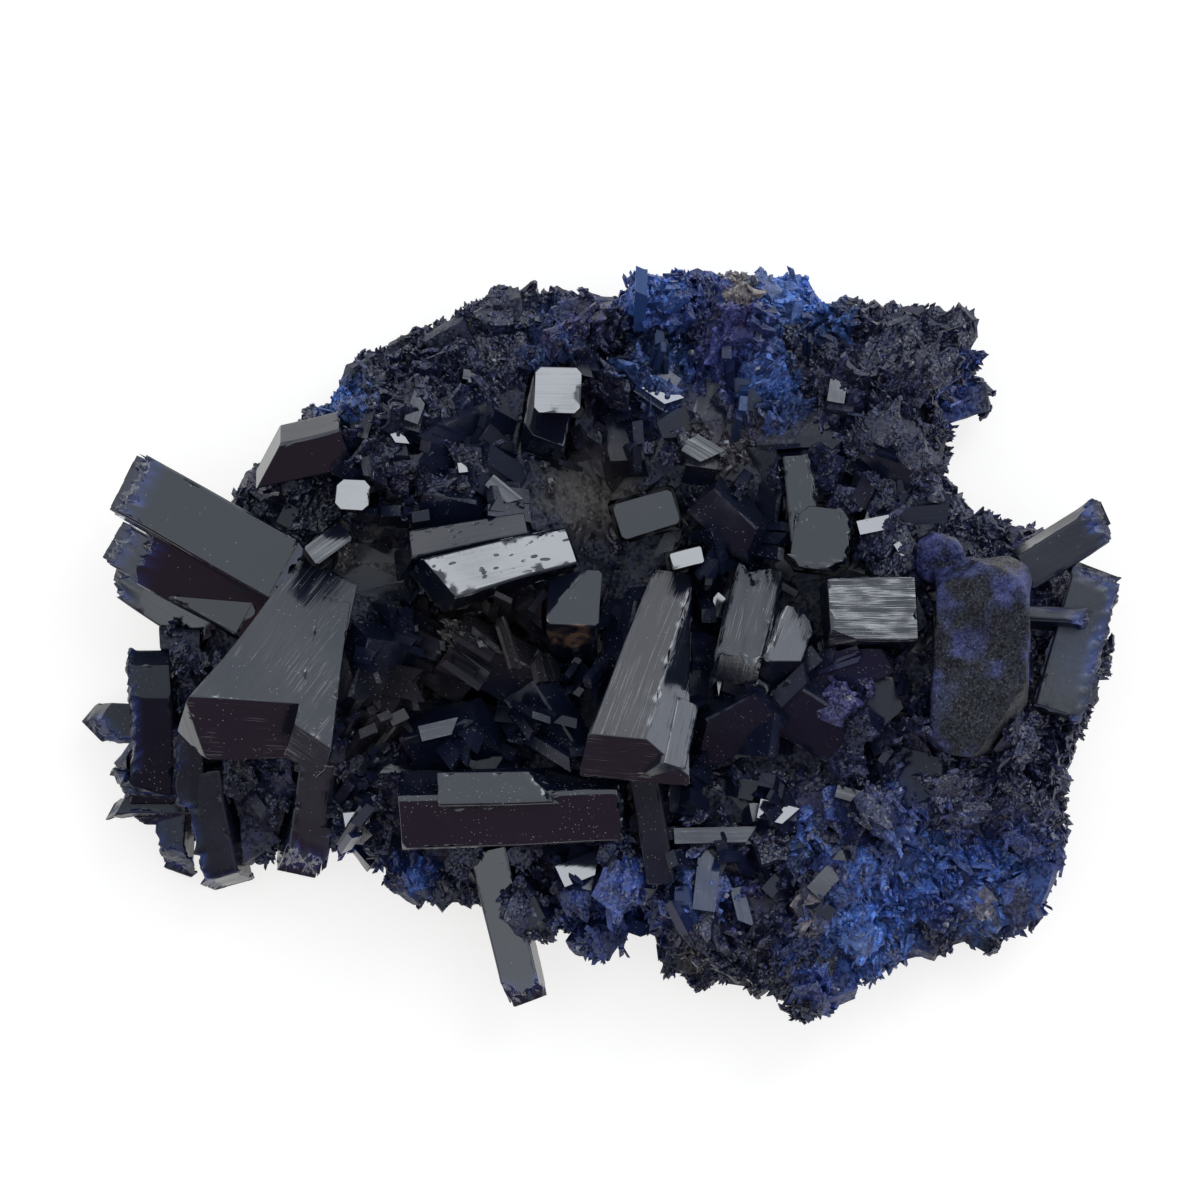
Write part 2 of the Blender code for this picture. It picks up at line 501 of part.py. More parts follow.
def small_crystals():
    """Teeth round the rim, and crystals scattered over the upper side in a sunflower pattern."""
    chance = random.Random(SMALL_SEED)
    found = []
    for k in range(RIM_TEETH):
        compass = math.tau * (k + chance.uniform(-0.3, 0.3)) / RIM_TEETH
        outward = Vector((math.cos(compass), math.sin(compass), 0))
        foot = Vector((*MIDDLE, 0)) + outward * (reach(compass) - chance.uniform(3.0, 3.7))
        foot.z = chance.uniform(2.4, 5.2)
        sway = Vector((chance.uniform(-0.5, 0.5), chance.uniform(-0.5, 0.5), chance.uniform(-0.1, 0.6)))
        found.append(small_crystal(foot, outward + sway, TOOTH_LENGTH, TOOTH_WIDTH, chance))
    golden = math.pi * (3 - math.sqrt(5))
    for k in range(SCATTERED):
        share = math.sqrt((k + 0.5) / SCATTERED) * 0.93
        compass = k * golden
        outward = Vector((math.cos(compass), math.sin(compass), 0))
        foot = Vector((*MIDDLE, 0)) + outward * (reach(compass) * share)
        sway = Vector((chance.uniform(-1.2, 1.2), chance.uniform(-1.2, 1.2), 1.0))
        if clear_of_large(foot.x, foot.y, 0.4):
            foot.z = upper_height(foot.x, foot.y, share) - 2.0
            widths = (SCATTER_WIDTH[0], SCATTER_WIDTH[1] + OUTER_WIDTH * share)
            found.append(small_crystal(foot, outward * share + sway, SCATTER_LENGTH, widths, chance))
    return found


def make_large(name, crystals, model, tools):
    """One solid of the crystals that are grown into each other."""
    obj = add_object(name, crystal_mesh(crystals[0]), model)
    if len(crystals) > 1:
        grown_on = bpy.data.collections.new(name + "_grown_on")
        tools.children.link(grown_on)
        for k, crystal in enumerate(crystals[1:]):
            add_tool(f"{name}_{k}", crystal_mesh(crystal), grown_on)
        combine(obj, grown_on, "UNION")
    return obj


def material(name, colour, roughness):
    made = bpy.data.materials.new(name)
    made.use_nodes = True
    shader = made.node_tree.nodes["Principled BSDF"]
    shader.inputs["Base Color"].default_value = (*colour, 1)
    shader.inputs["Roughness"].default_value = roughness
    shader.inputs["Metallic"].default_value = 0.0
    return made


def stand_on_origin(collection):
    """Moves every piece so that the whole stands on the origin, centred over it."""
    corners = [v.co for obj in collection.objects for v in obj.data.vertices]
    low = Vector(min(c[k] for c in corners) for k in range(3))
    high = Vector(max(c[k] for c in corners) for k in range(3))
    shift = Vector((-(low.x + high.x) / 2, -(low.y + high.y) / 2, -low.z))
    for obj in collection.objects:
        obj.data.transform(Matrix.Translation(shift))


def main():
    for obj in list(bpy.data.objects):
        bpy.data.objects.remove(obj)
    scene = bpy.context.scene.collection
    model = bpy.data.collections.new("azurite_specimen")
    tools = bpy.data.collections.new("tools")
    growths = bpy.data.collections.new("growths")
    sockets = bpy.data.collections.new("sockets")
    scene.children.link(model)
    scene.children.link(tools)
    tools.children.link(growths)
    tools.children.link(sockets)

    base = make_base(model)
    for k, crystal in enumerate(list(MEDIUM) + small_crystals()):
        add_tool(f"growth_{k}", crystal_mesh(crystal), growths)
    for name, crystals in LARGE.items():
        add_tool(f"seat_{name}", seat_mesh(crystals[0]), growths)
    combine(base, growths, "UNION")
    for name, crystals in LARGE.items():
        make_large(name, crystals, model, tools)
        for k, crystal in enumerate(crystals):
            add_tool(f"socket_{name}_{k}", crystal_mesh(crystal, SOCKET_GAP), sockets)
    combine(base, sockets, "DIFFERENCE")
    drop_crumbs(base)

    azurite = material("azurite", (0.012, 0.018, 0.045), 0.12)
    druse = material("azurite_druse", (0.02, 0.03, 0.12), 0.5)
    for obj in model.objects:
        obj.data.materials.clear()
        obj.data.materials.append(druse if obj is base else azurite)
    stand_on_origin(model)


main()
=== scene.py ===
# %% [markdown]
# # Dressing an azurite specimen
#
# Azurite grows as dark, glassy prisms out of a rough crust of tiny crystals, which is called a druse.
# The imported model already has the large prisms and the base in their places. This lesson keeps those
# shapes, gives their faces the relief that grown crystals have, and covers the base with small blades.

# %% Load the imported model
import itertools
import math

import bmesh
import bpy
import numpy as np
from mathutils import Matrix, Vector
from mathutils.bvhtree import BVHTree


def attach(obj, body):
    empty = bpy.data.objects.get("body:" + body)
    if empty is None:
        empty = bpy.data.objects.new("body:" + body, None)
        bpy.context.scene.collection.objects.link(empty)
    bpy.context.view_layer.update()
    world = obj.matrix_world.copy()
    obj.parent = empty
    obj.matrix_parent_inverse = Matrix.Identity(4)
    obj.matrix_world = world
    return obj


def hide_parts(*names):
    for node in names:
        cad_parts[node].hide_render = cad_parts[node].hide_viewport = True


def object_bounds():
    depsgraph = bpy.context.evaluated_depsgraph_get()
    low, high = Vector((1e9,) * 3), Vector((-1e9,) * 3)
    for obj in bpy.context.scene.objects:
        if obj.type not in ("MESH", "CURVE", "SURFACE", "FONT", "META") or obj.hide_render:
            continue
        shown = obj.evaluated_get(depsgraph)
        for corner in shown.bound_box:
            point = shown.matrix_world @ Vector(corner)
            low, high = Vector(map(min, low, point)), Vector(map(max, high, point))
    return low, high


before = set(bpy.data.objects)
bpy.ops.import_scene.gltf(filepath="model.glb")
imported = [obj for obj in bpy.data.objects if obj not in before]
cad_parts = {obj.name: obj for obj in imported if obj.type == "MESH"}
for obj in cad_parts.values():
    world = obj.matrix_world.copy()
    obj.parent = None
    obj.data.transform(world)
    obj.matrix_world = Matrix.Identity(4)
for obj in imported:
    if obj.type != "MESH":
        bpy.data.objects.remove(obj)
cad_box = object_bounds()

MM = 0.001
BASE = "druse_matrix"
BLADE = "druse_blade"
CRYSTALS = sorted(set(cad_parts) - {BASE})
print(len(CRYSTALS), "crystal nodes and the base")

# %% [markdown]
# ## The view, the floor and the light
#
# The specimen lies on a glowing pale table and is seen from straight above. A dark glassy face shows
# only what it mirrors, so the surroundings decide how bright each face is. They are painted in the
# world's shader: a pale grey tent, one strong window at the back right with softer glows beside it,
# and a dim warm room in front. Lamps could do the same, but each would have an edge that shows in
# some face where it isn't wanted.

# %% The camera
VIEW_WIDTH = 83.4 * MM
VIEW_MIDDLE = (-0.12 * MM, 3.10 * MM)
VIEW_DISTANCE = 1.0
SHARP_PLANE = 9 * MM  # the height at which the view is VIEW_WIDTH wide
SENSOR = 36.0

camera = bpy.data.objects.new("camera", bpy.data.cameras.new("camera"))
camera.location = (*VIEW_MIDDLE, SHARP_PLANE + VIEW_DISTANCE)
camera.data.sensor_width = SENSOR
camera.data.lens = SENSOR * VIEW_DISTANCE / VIEW_WIDTH
camera.data.clip_end = 20.0
bpy.context.scene.collection.objects.link(camera)
bpy.context.scene.camera = camera
bpy.context.scene.view_settings.view_transform = "Standard"
print("lens", round(camera.data.lens), "mm")


# %% Shader maths as plain sums
class Link:
    """One output socket. A sum or product of links adds the Math node that works it out."""

    def __init__(self, sheet, socket):
        self.sheet, self.socket = sheet, socket

    def maths(self, operation, first, second):
        return self.sheet.node("Math", {0: first, 1: second}, operation=operation)

    def __add__(self, other):
        return self.maths("ADD", self, other)

    def __sub__(self, other):
        return self.maths("SUBTRACT", self, other)

    def __rsub__(self, other):
        return self.maths("SUBTRACT", other, self)

    def __mul__(self, other):
        return self.maths("MULTIPLY", self, other)

    def __gt__(self, other):
        return self.maths("GREATER_THAN", self, other)

    def __lt__(self, other):
        return self.maths("LESS_THAN", self, other)

    __radd__, __rmul__ = __add__, __mul__


class Sheet:
    """A node tree whose nodes all come from one method."""

    def __init__(self, tree):
        self.tree = tree
        tree.nodes.clear()

    def node(self, kind, inputs=(), output=0, **settings):
        """One output of a new node. Its settings come first, then its sockets' values or links."""
        made = self.tree.nodes.new("ShaderNode" + kind)
        for key, value in settings.items():
            setattr(made, key, value)
        for key, value in dict(inputs).items():
            if isinstance(value, Link):
                self.tree.links.new(value.socket, made.inputs[key])
            else:
                made.inputs[key].default_value = value
        return Link(self, made.outputs[output] if made.outputs else None)

    def mix(self, share, first, second):
        """A colour from first to second. The colour sockets of a Mix node are its last two."""
        made = self.node("Mix", {"Factor": share}, output=2, data_type="RGBA")
        for socket, value in zip(made.socket.node.inputs[6:8], (first, second)):
            if isinstance(value, Link):
                self.tree.links.new(value.socket, socket)
            else:
                socket.default_value = (*value, 1)
        return made

    def steps(self, value, low, high):
        """0 below low, 1 above high and a soft step between."""
        return self.node("MapRange", {0: value, 1: low, 2: high}, interpolation_type="SMOOTHSTEP")


# %% The surroundings
TENT = (0.80, 0.88, 0.95)
DIM_ROOM = (0.17, 0.105, 0.125)
BACKDROP = (1.0, 1.0, 0.99)  # what the camera sees of the sky itself
# Each glow: compass and tilt from straight up in degrees, inner and outer radius in degrees, colour.
GLOWS = (
    ((59, 47), (9, 17), (5.2, 5.5, 5.9)),
    ((18, 70), (12, 26), (1.7, 1.8, 2.0)),
    ((76, 65), (10, 24), (0.78, 0.84, 0.92)),
    ((80, 63), (4, 9), (1.05, 1.08, 1.15)),
    ((90, 52), (6, 16), (1.2, 1.22, 1.28)),
    ((220, 28), (5, 11), (1.2, 1.28, 1.38)),
)
# Each shade: compass and tilt, inner and outer radius, the colour that takes over, its share.
SHADES = (
    ((265, 74), (30, 60), DIM_ROOM, 1.0),
    ((180, 88), (20, 55), (0.30, 0.32, 0.36), 0.8),
    ((330, 80), (20, 45), (0.22, 0.24, 0.28), 0.8),
)


def toward(compass, tilt):
    """Unit vector or vectors of a compass angle and a tilt from straight up, both in degrees."""
    c, t = np.radians(compass), np.radians(tilt)
    return np.stack([np.sin(t) * np.cos(c), np.sin(t) * np.sin(c), np.cos(t) + 0 * c], axis=-1)


def patch(sheet, ray, aim, radii):
    """1 inside the inner radius of a round patch of the sky, and 0 beyond its outer radius."""
    cosine = sheet.node(
        "VectorMath", {0: ray, 1: tuple(toward(*aim))}, output="Value", operation="DOT_PRODUCT")
    inner, outer = (math.cos(math.radians(r)) for r in radii)
    return sheet.steps(cosine, outer, inner)


world = bpy.data.worlds.new("studio")
bpy.context.scene.world = world
world.use_nodes = True
sky = Sheet(world.node_tree)
ray = sky.node("TexCoord", output="Generated")
colour = TENT
for aim, radii, shade, share in SHADES:
    colour = sky.mix(patch(sky, ray, aim, radii) * share, colour, shade)
for aim, radii, glow in GLOWS:
    colour = sky.mix(patch(sky, ray, aim, radii), colour, glow)
straight = sky.node("LightPath", output="Is Camera Ray")
colour = sky.mix(straight, colour, BACKDROP)
sky.node("OutputWorld", {"Surface": sky.node("Background", {"Color": colour})})
print(len(GLOWS), "glows and", len(SHADES), "shades")


# %% The pale table, which glows a little so that the shadows on it stay light
def plain_mesh(name, points, corners, sizes):
    """A mesh from whole arrays: points in mm, the faces' corners in one row, and each face's size."""
    data = bpy.data.meshes.new(name)
    data.vertices.add(len(points))
    data.vertices.foreach_set("co", (np.asarray(points) * MM).astype(np.float32).ravel())
    data.loops.add(len(corners))
    data.loops.foreach_set("vertex_index", np.asarray(corners, np.int32).ravel())
    data.polygons.add(len(sizes))
    starts = np.concatenate([[0], np.cumsum(sizes)[:-1]])
    data.polygons.foreach_set("loop_start", starts.astype(np.int32))
    data.update(calc_edges=True)
    return data


def new_paint(name):
    """An empty material, and the sheet for its nodes."""
    paint = bpy.data.materials.new(name)
    paint.use_nodes = True
    return paint, Sheet(paint.node_tree)


def place_piece(name, data, material):
    """Puts a mesh into the scene as an object that sits at the origin."""
    piece = bpy.data.objects.new(name, data)
    data.materials.append(material)
    bpy.context.scene.collection.objects.link(piece)
    return piece


TABLE_HALF = 4000.0  # mm from the middle to a side
TABLE_DROP = 0.02  # mm below the specimen's underside, so that the two don't share a plane

table_paint, table_sheet = new_paint("pale_table")
table_shader = table_sheet.node("BsdfPrincipled", {
    "Base Color": (0.40, 0.39, 0.375, 1), "Roughness": 0.9, "Specular IOR Level": 0.1,
    "Emission Color": (1.0, 0.99, 0.975, 1), "Emission Strength": 0.74})
table_sheet.node("OutputMaterial", {"Surface": table_shader})
table_points = np.array([(-1, -1, 0), (1, -1, 0), (1, 1, 0), (-1, 1, 0)]) * TABLE_HALF - (0, 0, TABLE_DROP)
table = place_piece("table", plain_mesh("table", table_points, range(4), [4]), table_paint)
print("table", 2 * TABLE_HALF / 1000, "m wide")

# %% [markdown]
# ## Noise that is the same on every run
#
# Nothing that grows is even, so each surface below is varied by noise. Blender has noise of its own,
# but one point at a time. Here a cubic lattice of random heights is blended for all points at once.


# %% Lattice noise
HASH_FACTORS = (73856093, 19349663, 83492791, 40503)  # large and odd, so that neighbours come out unlike
HASH_MIX, HASH_BITS = 1274126177, 0xFFFFFFFF


def lattice_noise(points, wave, seed):
    """Smooth noise from -1 to 1.

    Each corner of a lattice with cells of size wave has a random height, from a hash of its place.
    A point blends the eight corners round it, by the smooth step 3 t^2 - 2 t^3 along each axis.
    Each seed gives another noise.
    """
    scaled = np.asarray(points, float) / wave + 1000.0
    cell = np.floor(scaled).astype(np.int64)
    t = scaled - cell
    t = t * t * (3 - 2 * t)
    total = np.zeros(len(scaled))
    for corner in itertools.product((0, 1), repeat=3):
        x, y, z = (cell + corner).T
        parts = [value * factor for value, factor in zip((x, y, z, seed + 1), HASH_FACTORS)]
        number = (parts[0] ^ parts[1] ^ parts[2] ^ parts[3]) & HASH_BITS
        number = ((number ^ (number >> 13)) * HASH_MIX) & HASH_BITS
        height = (number ^ (number >> 16)) / 0x7FFFFFFF - 1
        total += height * np.prod(np.where(corner, t, 1 - t), axis=1)
    return total


def unit(vectors):
    """The vectors scaled to length 1."""
    return vectors / np.maximum(np.linalg.norm(vectors, axis=-1, keepdims=True), 1e-9)


sample = lattice_noise(np.arange(3000).reshape(-1, 3) * 0.37, 5.0, 0)
print("noise from", round(sample.min(), 2), "to", round(sample.max(), 2))

# %% [markdown]
# ## Where the stone is blue, purple, brown or tan
#
# Thick azurite looks black. It is blue where it is thin or finely grained: along the rim, in the fans
# at the front right and on the lumps at the back. Limonite stains the matrix brown in the middle.
# Each stain is a soft round patch, given by its place and radius, so that all pieces share the map.

# %% The stains
NAVY = (0.011, 0.015, 0.042)
# Each stain: colour, and its patches as x, y, radius and strength, in mm.
STAINS = (
    ((0.018, 0.021, 0.068), (  # dusky blue, where the crust is thin
        (-35.2, -6.5, 3, 0.7), (-30.2, 7.0, 4, 0.6), (-14.2, 18.0, 6, 0.5), (-0.2, 22.0, 9, 0.6),
        (19.8, 17.0, 8, 0.7), (29.8, 1.0, 9, 0.6), (17.8, -13.0, 9, 0.7), (27.8, -13.0, 8, 0.7),
        (-0.2, -18.0, 8, 0.6), (-15.2, -15.0, 8, 0.6),
    )),
    ((0.050, 0.045, 0.160), (  # purple
        (9.2, 22.2, 2.2, 0.9), (15.2, -12.5, 2.2, 0.8), (17.2, -2.5, 2.0, 0.7), (27.7, 3.1, 2.2, 0.6),
        (-1.5, 22.5, 1.5, 0.7), (31.8, 5.6, 2.4, 0.5), (8.2, -17.8, 2.0, 0.7), (-24.8, -13.5, 1.2, 0.8),
    )),
    ((0.032, 0.068, 0.290), (  # blue
        (3.3, 24.8, 2.4, 0.9), (6.8, 25.8, 2.2, 0.6), (9.6, 18.8, 3.0, 0.5), (26.6, 20.8, 1.2, 0.9),
        (24.6, 17.0, 1.2, 0.8), (18.6, -19.8, 3.2, 0.9), (15.6, -22.0, 2.6, 0.8),
        (23.3, -16.2, 3.2, 0.7), (29.6, -16.4, 3.2, 0.7), (21.0, -10.2, 1.6, 0.7),
        (-0.1, -18.8, 2.6, 0.7), (3.2, -18.2, 2.2, 0.5), (-13.4, -16.0, 1.2, 0.9),
        (-34.9, -6.6, 1.4, 0.6), (-30.8, -13.2, 1.2, 0.7), (-33.6, 7.8, 1.4, 0.5),
        (32.5, 0.4, 1.3, 0.9), (26.6, -16.0, 2.0, 0.6), (-18.2, -14.8, 1.2, 0.8),
    )),
    ((0.085, 0.205, 0.600), (  # bright blue
        (18.4, -19.9, 2.4, 0.8), (28.2, -16.6, 2.0, 0.5), (22.8, -15.4, 2.0, 0.45),
        (14.6, -13.4, 1.6, 0.5), (11.5, 18.4, 1.8, 0.5), (4.2, 19.6, 2.2, 0.35),
        (-3.5, 21.0, 1.8, 0.25), (33.0, -1.2, 1.4, 0.5), (7.0, -17.6, 1.6, 0.4), (13.7, 24.8, 2.4, 0.9),
        (3.2, 25.0, 1.2, 0.7), (-18.8, 17.4, 1.6, 0.6), (16.8, 22.4, 1.2, 0.7), (19.4, -21.4, 1.6, 0.5),
        (26.6, -20.0, 1.3, 0.6), (-13.2, -16.2, 0.8, 0.5),
    )),
    ((0.080, 0.064, 0.046), (  # brown limonite
        (-15.4, 6.1, 1.7, 0.7), (-0.5, 10.7, 2.6, 0.9), (-9.2, 2.4, 2.6, 0.8), (-14.7, -3.9, 2.0, 0.7),
        (-5.7, 0.3, 2.2, 0.7), (-11.3, -2.5, 1.6, 0.7), (8.4, 14.2, 2.6, 0.5),
    )),
    ((0.300, 0.250, 0.190), (  # tan crumbs of rock
        (9.2, 25.2, 0.9, 0.9), (14.8, -20.2, 0.8, 0.8), (26.6, -19.0, 0.8, 0.8), (6.8, -22.3, 0.6, 0.6),
    )),
)
STAIN_SPREAD, STAIN_FALL = 1.5, 0.7
RAGGED_WAVE, RAGGED_BY = 1.6, 1.1  # wavelength and size in mm of the noise that tears a stain's outline


def stain(points):
    """Colour at each point: navy, and then each patch's colour in turn, mixed in by its share.

    share = strength x (1 - (distance / (STAIN_SPREAD x radius))^2) ^ STAIN_FALL, and the distance is
    measured from a point that noise has moved a little.
    """
    torn = [lattice_noise(points, RAGGED_WAVE, k) for k in (1, 2, 3)]
    ragged = points + RAGGED_BY * np.stack(torn, axis=1)
    colour = np.tile(np.array(NAVY), (len(points), 1))
    for paint, patches in STAINS:
        for x, y, radius, strength in patches:
            reach = ((ragged[:, 0] - x) ** 2 + (ragged[:, 1] - y) ** 2) / (STAIN_SPREAD * radius) ** 2
            share = (strength * np.clip(1 - reach, 0, 1) ** STAIN_FALL)[:, None]
            colour = colour * (1 - share) + np.array(paint) * share
    return colour


print(sum(len(patches) for paint, patches in STAINS), "patches of", len(STAINS), "stains")

# %% [markdown]
# ## Finishes
#
# One function makes the glass of the large crystals, and its numbers say how ribbed, pitted or dusty
# a crystal is. Ribs and pits follow the crystal's own length, so they read the map named grain, whose
# two directions run along and across each face in millimetres. The druse takes its colour from the
# stains, which are stored on each piece as the attribute named stain.


# %% Noise and marks for the glass
def noise(sheet, where, scale, detail, output=0):
    """Smooth noise from 0 to 1, with scale waves to each unit of where."""
    return sheet.node("TexNoise", {"Vector": where, "Scale": scale, "Detail": detail}, output)


def stretched(sheet, grain, along, across):
    """The grain map with along and across waves to each millimetre of its two directions."""
    return sheet.node("Mapping", {"Vector": grain, "Scale": (along, across, 1)})


def pit_holes(sheet, grain, place):
    """1 in narrow pits that lie along the grain, in some areas only.

    A pit is the middle of a Voronoi cell. Noise moves the map under the cells, so no pit is round.
    """
    wobble = noise(sheet, place, 900.0, 2.0, "Color")
    spots = sheet.node(
        "VectorMath", {0: wobble, 1: (1.1, 1.1, 0), 2: stretched(sheet, grain, 1.0, 2.5)},
        operation="MULTIPLY_ADD")
    cells = sheet.node("TexVoronoi", {"Vector": spots, "Scale": 1.0}, output="Distance")
    areas = noise(sheet, place, 420.0, 1.0)
    return (1 - sheet.steps(cells, 0.20, 0.30)) * sheet.steps(areas, 0.46, 0.56)


def dust_specks(sheet, place, dust):
    """1 in tiny specks: the middles of some cells of a fine Voronoi pattern, in some areas only."""
    scale = 2000.0 * (1 + 0.4 * dust)
    middle = sheet.node("TexVoronoi", {"Vector": place, "Scale": scale}, output="Distance")
    choice = sheet.node("TexVoronoi", {"Vector": place, "Scale": scale}, output="Color")
    areas = noise(sheet, place, 300.0, 2.0)
    return (middle < 0.09 + 0.03 * dust) * (choice > 1 - 0.6 * dust) * sheet.steps(areas, 0.40, 0.60)


def scratch_lines(sheet, fine_ribs, place):
    """1 on the crests of the fine ribs, in some areas only."""
    areas = noise(sheet, place, 330.0, 1.0)
    return sheet.steps(fine_ribs, 0.56, 0.66) * sheet.steps(areas, 0.50, 0.62)


# %% The glassy finish
DEEP = (0.003, 0.005, 0.012)
DUST = (0.30, 0.27, 0.26)
SCRATCH = (0.30, 0.29, 0.30)
RELIEF_UNIT = 0.00003  # metres of height for a relief of 1


def azurite_glass(
        name, ribs=0.25, pits=0.0, dust=0.5, haze=0.10, grit=0.05, index=1.80, warp=0.5, scratches=0.0):
    """Near-black glass, under which some of the stain shows.

    Its relief is ribs, half as much of finer ribs, grit and slow waves, less the pits. Ribs are noise
    that is many times as long as it is wide, grit has no direction, and warp is the waves' height.
    haze is the mean roughness, which cloudy noise varies and every mark raises. index is the index
    of refraction, and the other numbers are shares.
    """
    paint, sheet = new_paint(name)
    grain = sheet.node("UVMap", uv_map="grain")
    place = sheet.node("TexCoord", output="Object")
    wide_ribs = noise(sheet, stretched(sheet, grain, 0.10, 2.6), 1.0, 3.0)
    fine_ribs = noise(sheet, stretched(sheet, grain, 0.22, 9.0), 1.0, 2.0)
    waves = noise(sheet, stretched(sheet, grain, 0.35, 0.8), 1.0, 1.0)
    etch = noise(sheet, place, 2600.0, 3.0)
    cloud = noise(sheet, place, 260.0, 3.0)
    relief = wide_ribs * ribs + fine_ribs * (0.5 * ribs) + etch * grit + waves * warp
    rough = cloud * (1.6 * haze) + 0.2 * haze
    stained = sheet.node("Attribute", attribute_name="stain")
    share = sheet.node("Attribute", attribute_name="stain", output="Alpha")
    base = sheet.mix(share, DEEP, stained)
    if pits:
        hole = pit_holes(sheet, grain, place) * pits
        relief = relief - hole * 0.9
        rough = rough + hole * 0.5
    speck = dust_specks(sheet, place, dust)
    base = sheet.mix(speck * 0.7, base, DUST)
    rough = rough + speck * 0.6
    if scratches:
        line = scratch_lines(sheet, fine_ribs, place) * scratches
        base = sheet.mix(line * 0.5, base, SCRATCH)
        rough = rough + line * 0.3
    bump = sheet.node("Bump", {"Height": relief, "Strength": 1.0, "Distance": RELIEF_UNIT})
    glass = sheet.node("BsdfPrincipled", {
        "Base Color": base, "Roughness": rough, "IOR": index, "Normal": bump})
    sheet.node("OutputMaterial", {"Surface": glass})
    return paint


GLASS = azurite_glass("azurite_glass")
RIBBED_GLASS = azurite_glass("ribbed_azurite", ribs=0.8, dust=1.0, haze=0.14, grit=0.12, scratches=0.6)
STREAKED_GLASS = azurite_glass("streaked_azurite", ribs=1.6, haze=0.18, warp=9.0, scratches=0.8)
PITTED_GLASS = azurite_glass("pitted_azurite", ribs=0.3, pits=1.0, dust=0.3)
DUSTY_GLASS = azurite_glass("dusty_azurite", ribs=0.15, dust=2.0, haze=0.16)
COATED_GLASS = azurite_glass("coated_azurite", ribs=0.5, dust=0.8, haze=0.36, grit=0.5, index=1.58)
DUSK_GLASS = azurite_glass("dusky_azurite", ribs=0.5, dust=1.5, haze=0.24, grit=0.25, index=1.47)
print("glass finishes ready")


# %% The druse finish
def druse_finish(name, low, high, grain_size, tilt, gloom=0.35, index=1.62):
    """Stained and grainy. low and high are the roughness range, and grain_size is in mm.

    Every grain is one cell of a Voronoi pattern, and its random colour turns the normal by up to
    tilt, so each grain has one flat face of its own and some of them sparkle. In the dark areas,
    which are a few grains wide, the share gloom of the stain's light is left.
    """
    paint, sheet = new_paint(name)
    place = sheet.node("TexCoord", output="Object")
    scale = 1 / (grain_size * MM)
    tone = noise(sheet, place, 0.22 * scale, 4.0)
    stained = sheet.node("Attribute", attribute_name="stain")
    dark = sheet.mix(1.0, stained, (gloom, gloom, 1.25 * gloom))
    dark.socket.node.blend_type = "MULTIPLY"
    base = sheet.mix(sheet.steps(tone, 0.38, 0.60), dark, stained)
    grains = sheet.node("TexVoronoi", {"Vector": place, "Scale": scale}, output="Color")
    centred = sheet.node("VectorMath", {0: grains, 1: (0.5, 0.5, 0.5)}, operation="SUBTRACT")
    turned = sheet.node("VectorMath", {0: centred, "Scale": 2 * tilt}, operation="SCALE")
    facing = sheet.node("NewGeometry", output="Normal")
    leaning = sheet.node("VectorMath", {0: facing, 1: turned}, operation="ADD")
    normal = sheet.node("VectorMath", {0: leaning}, operation="NORMALIZE")
    rough = tone * (high - low) + low
    stone = sheet.node("BsdfPrincipled", {
        "Base Color": base, "Roughness": rough, "IOR": index, "Normal": normal})
    sheet.node("OutputMaterial", {"Surface": stone})
    return paint


DRUSE = druse_finish("azurite_druse", low=0.22, high=0.55, grain_size=0.14, tilt=0.42, index=1.68)
MATRIX = druse_finish("azurite_matrix", low=0.40, high=0.85, grain_size=0.20, tilt=0.45)
COAT = druse_finish(
    "druse_coat", low=0.30, high=0.60, grain_size=0.12, tilt=0.42, gloom=0.45, index=1.46)
print("druse finishes ready")

# %% [markdown]
# ## From a CAD node to a grown crystal
#
# A CAD node comes as loose triangles. A copy is merged, its flat triangles are joined into whole
# faces, and its outer edges get a narrow bevel, which catches light as a worn edge does. Then every
# face is cut into fine triangles, so that low terraces can be pressed into it along its grain.

# %% Whole faces and their grain
MERGE = 0.001  # mm
FLAT = math.radians(0.5)
SHARP = math.radians(18)  # an edge that turns by more stays sharp
EDGE_COSINE = 0.95  # two normals with a smaller product belong to faces that meet at an angle


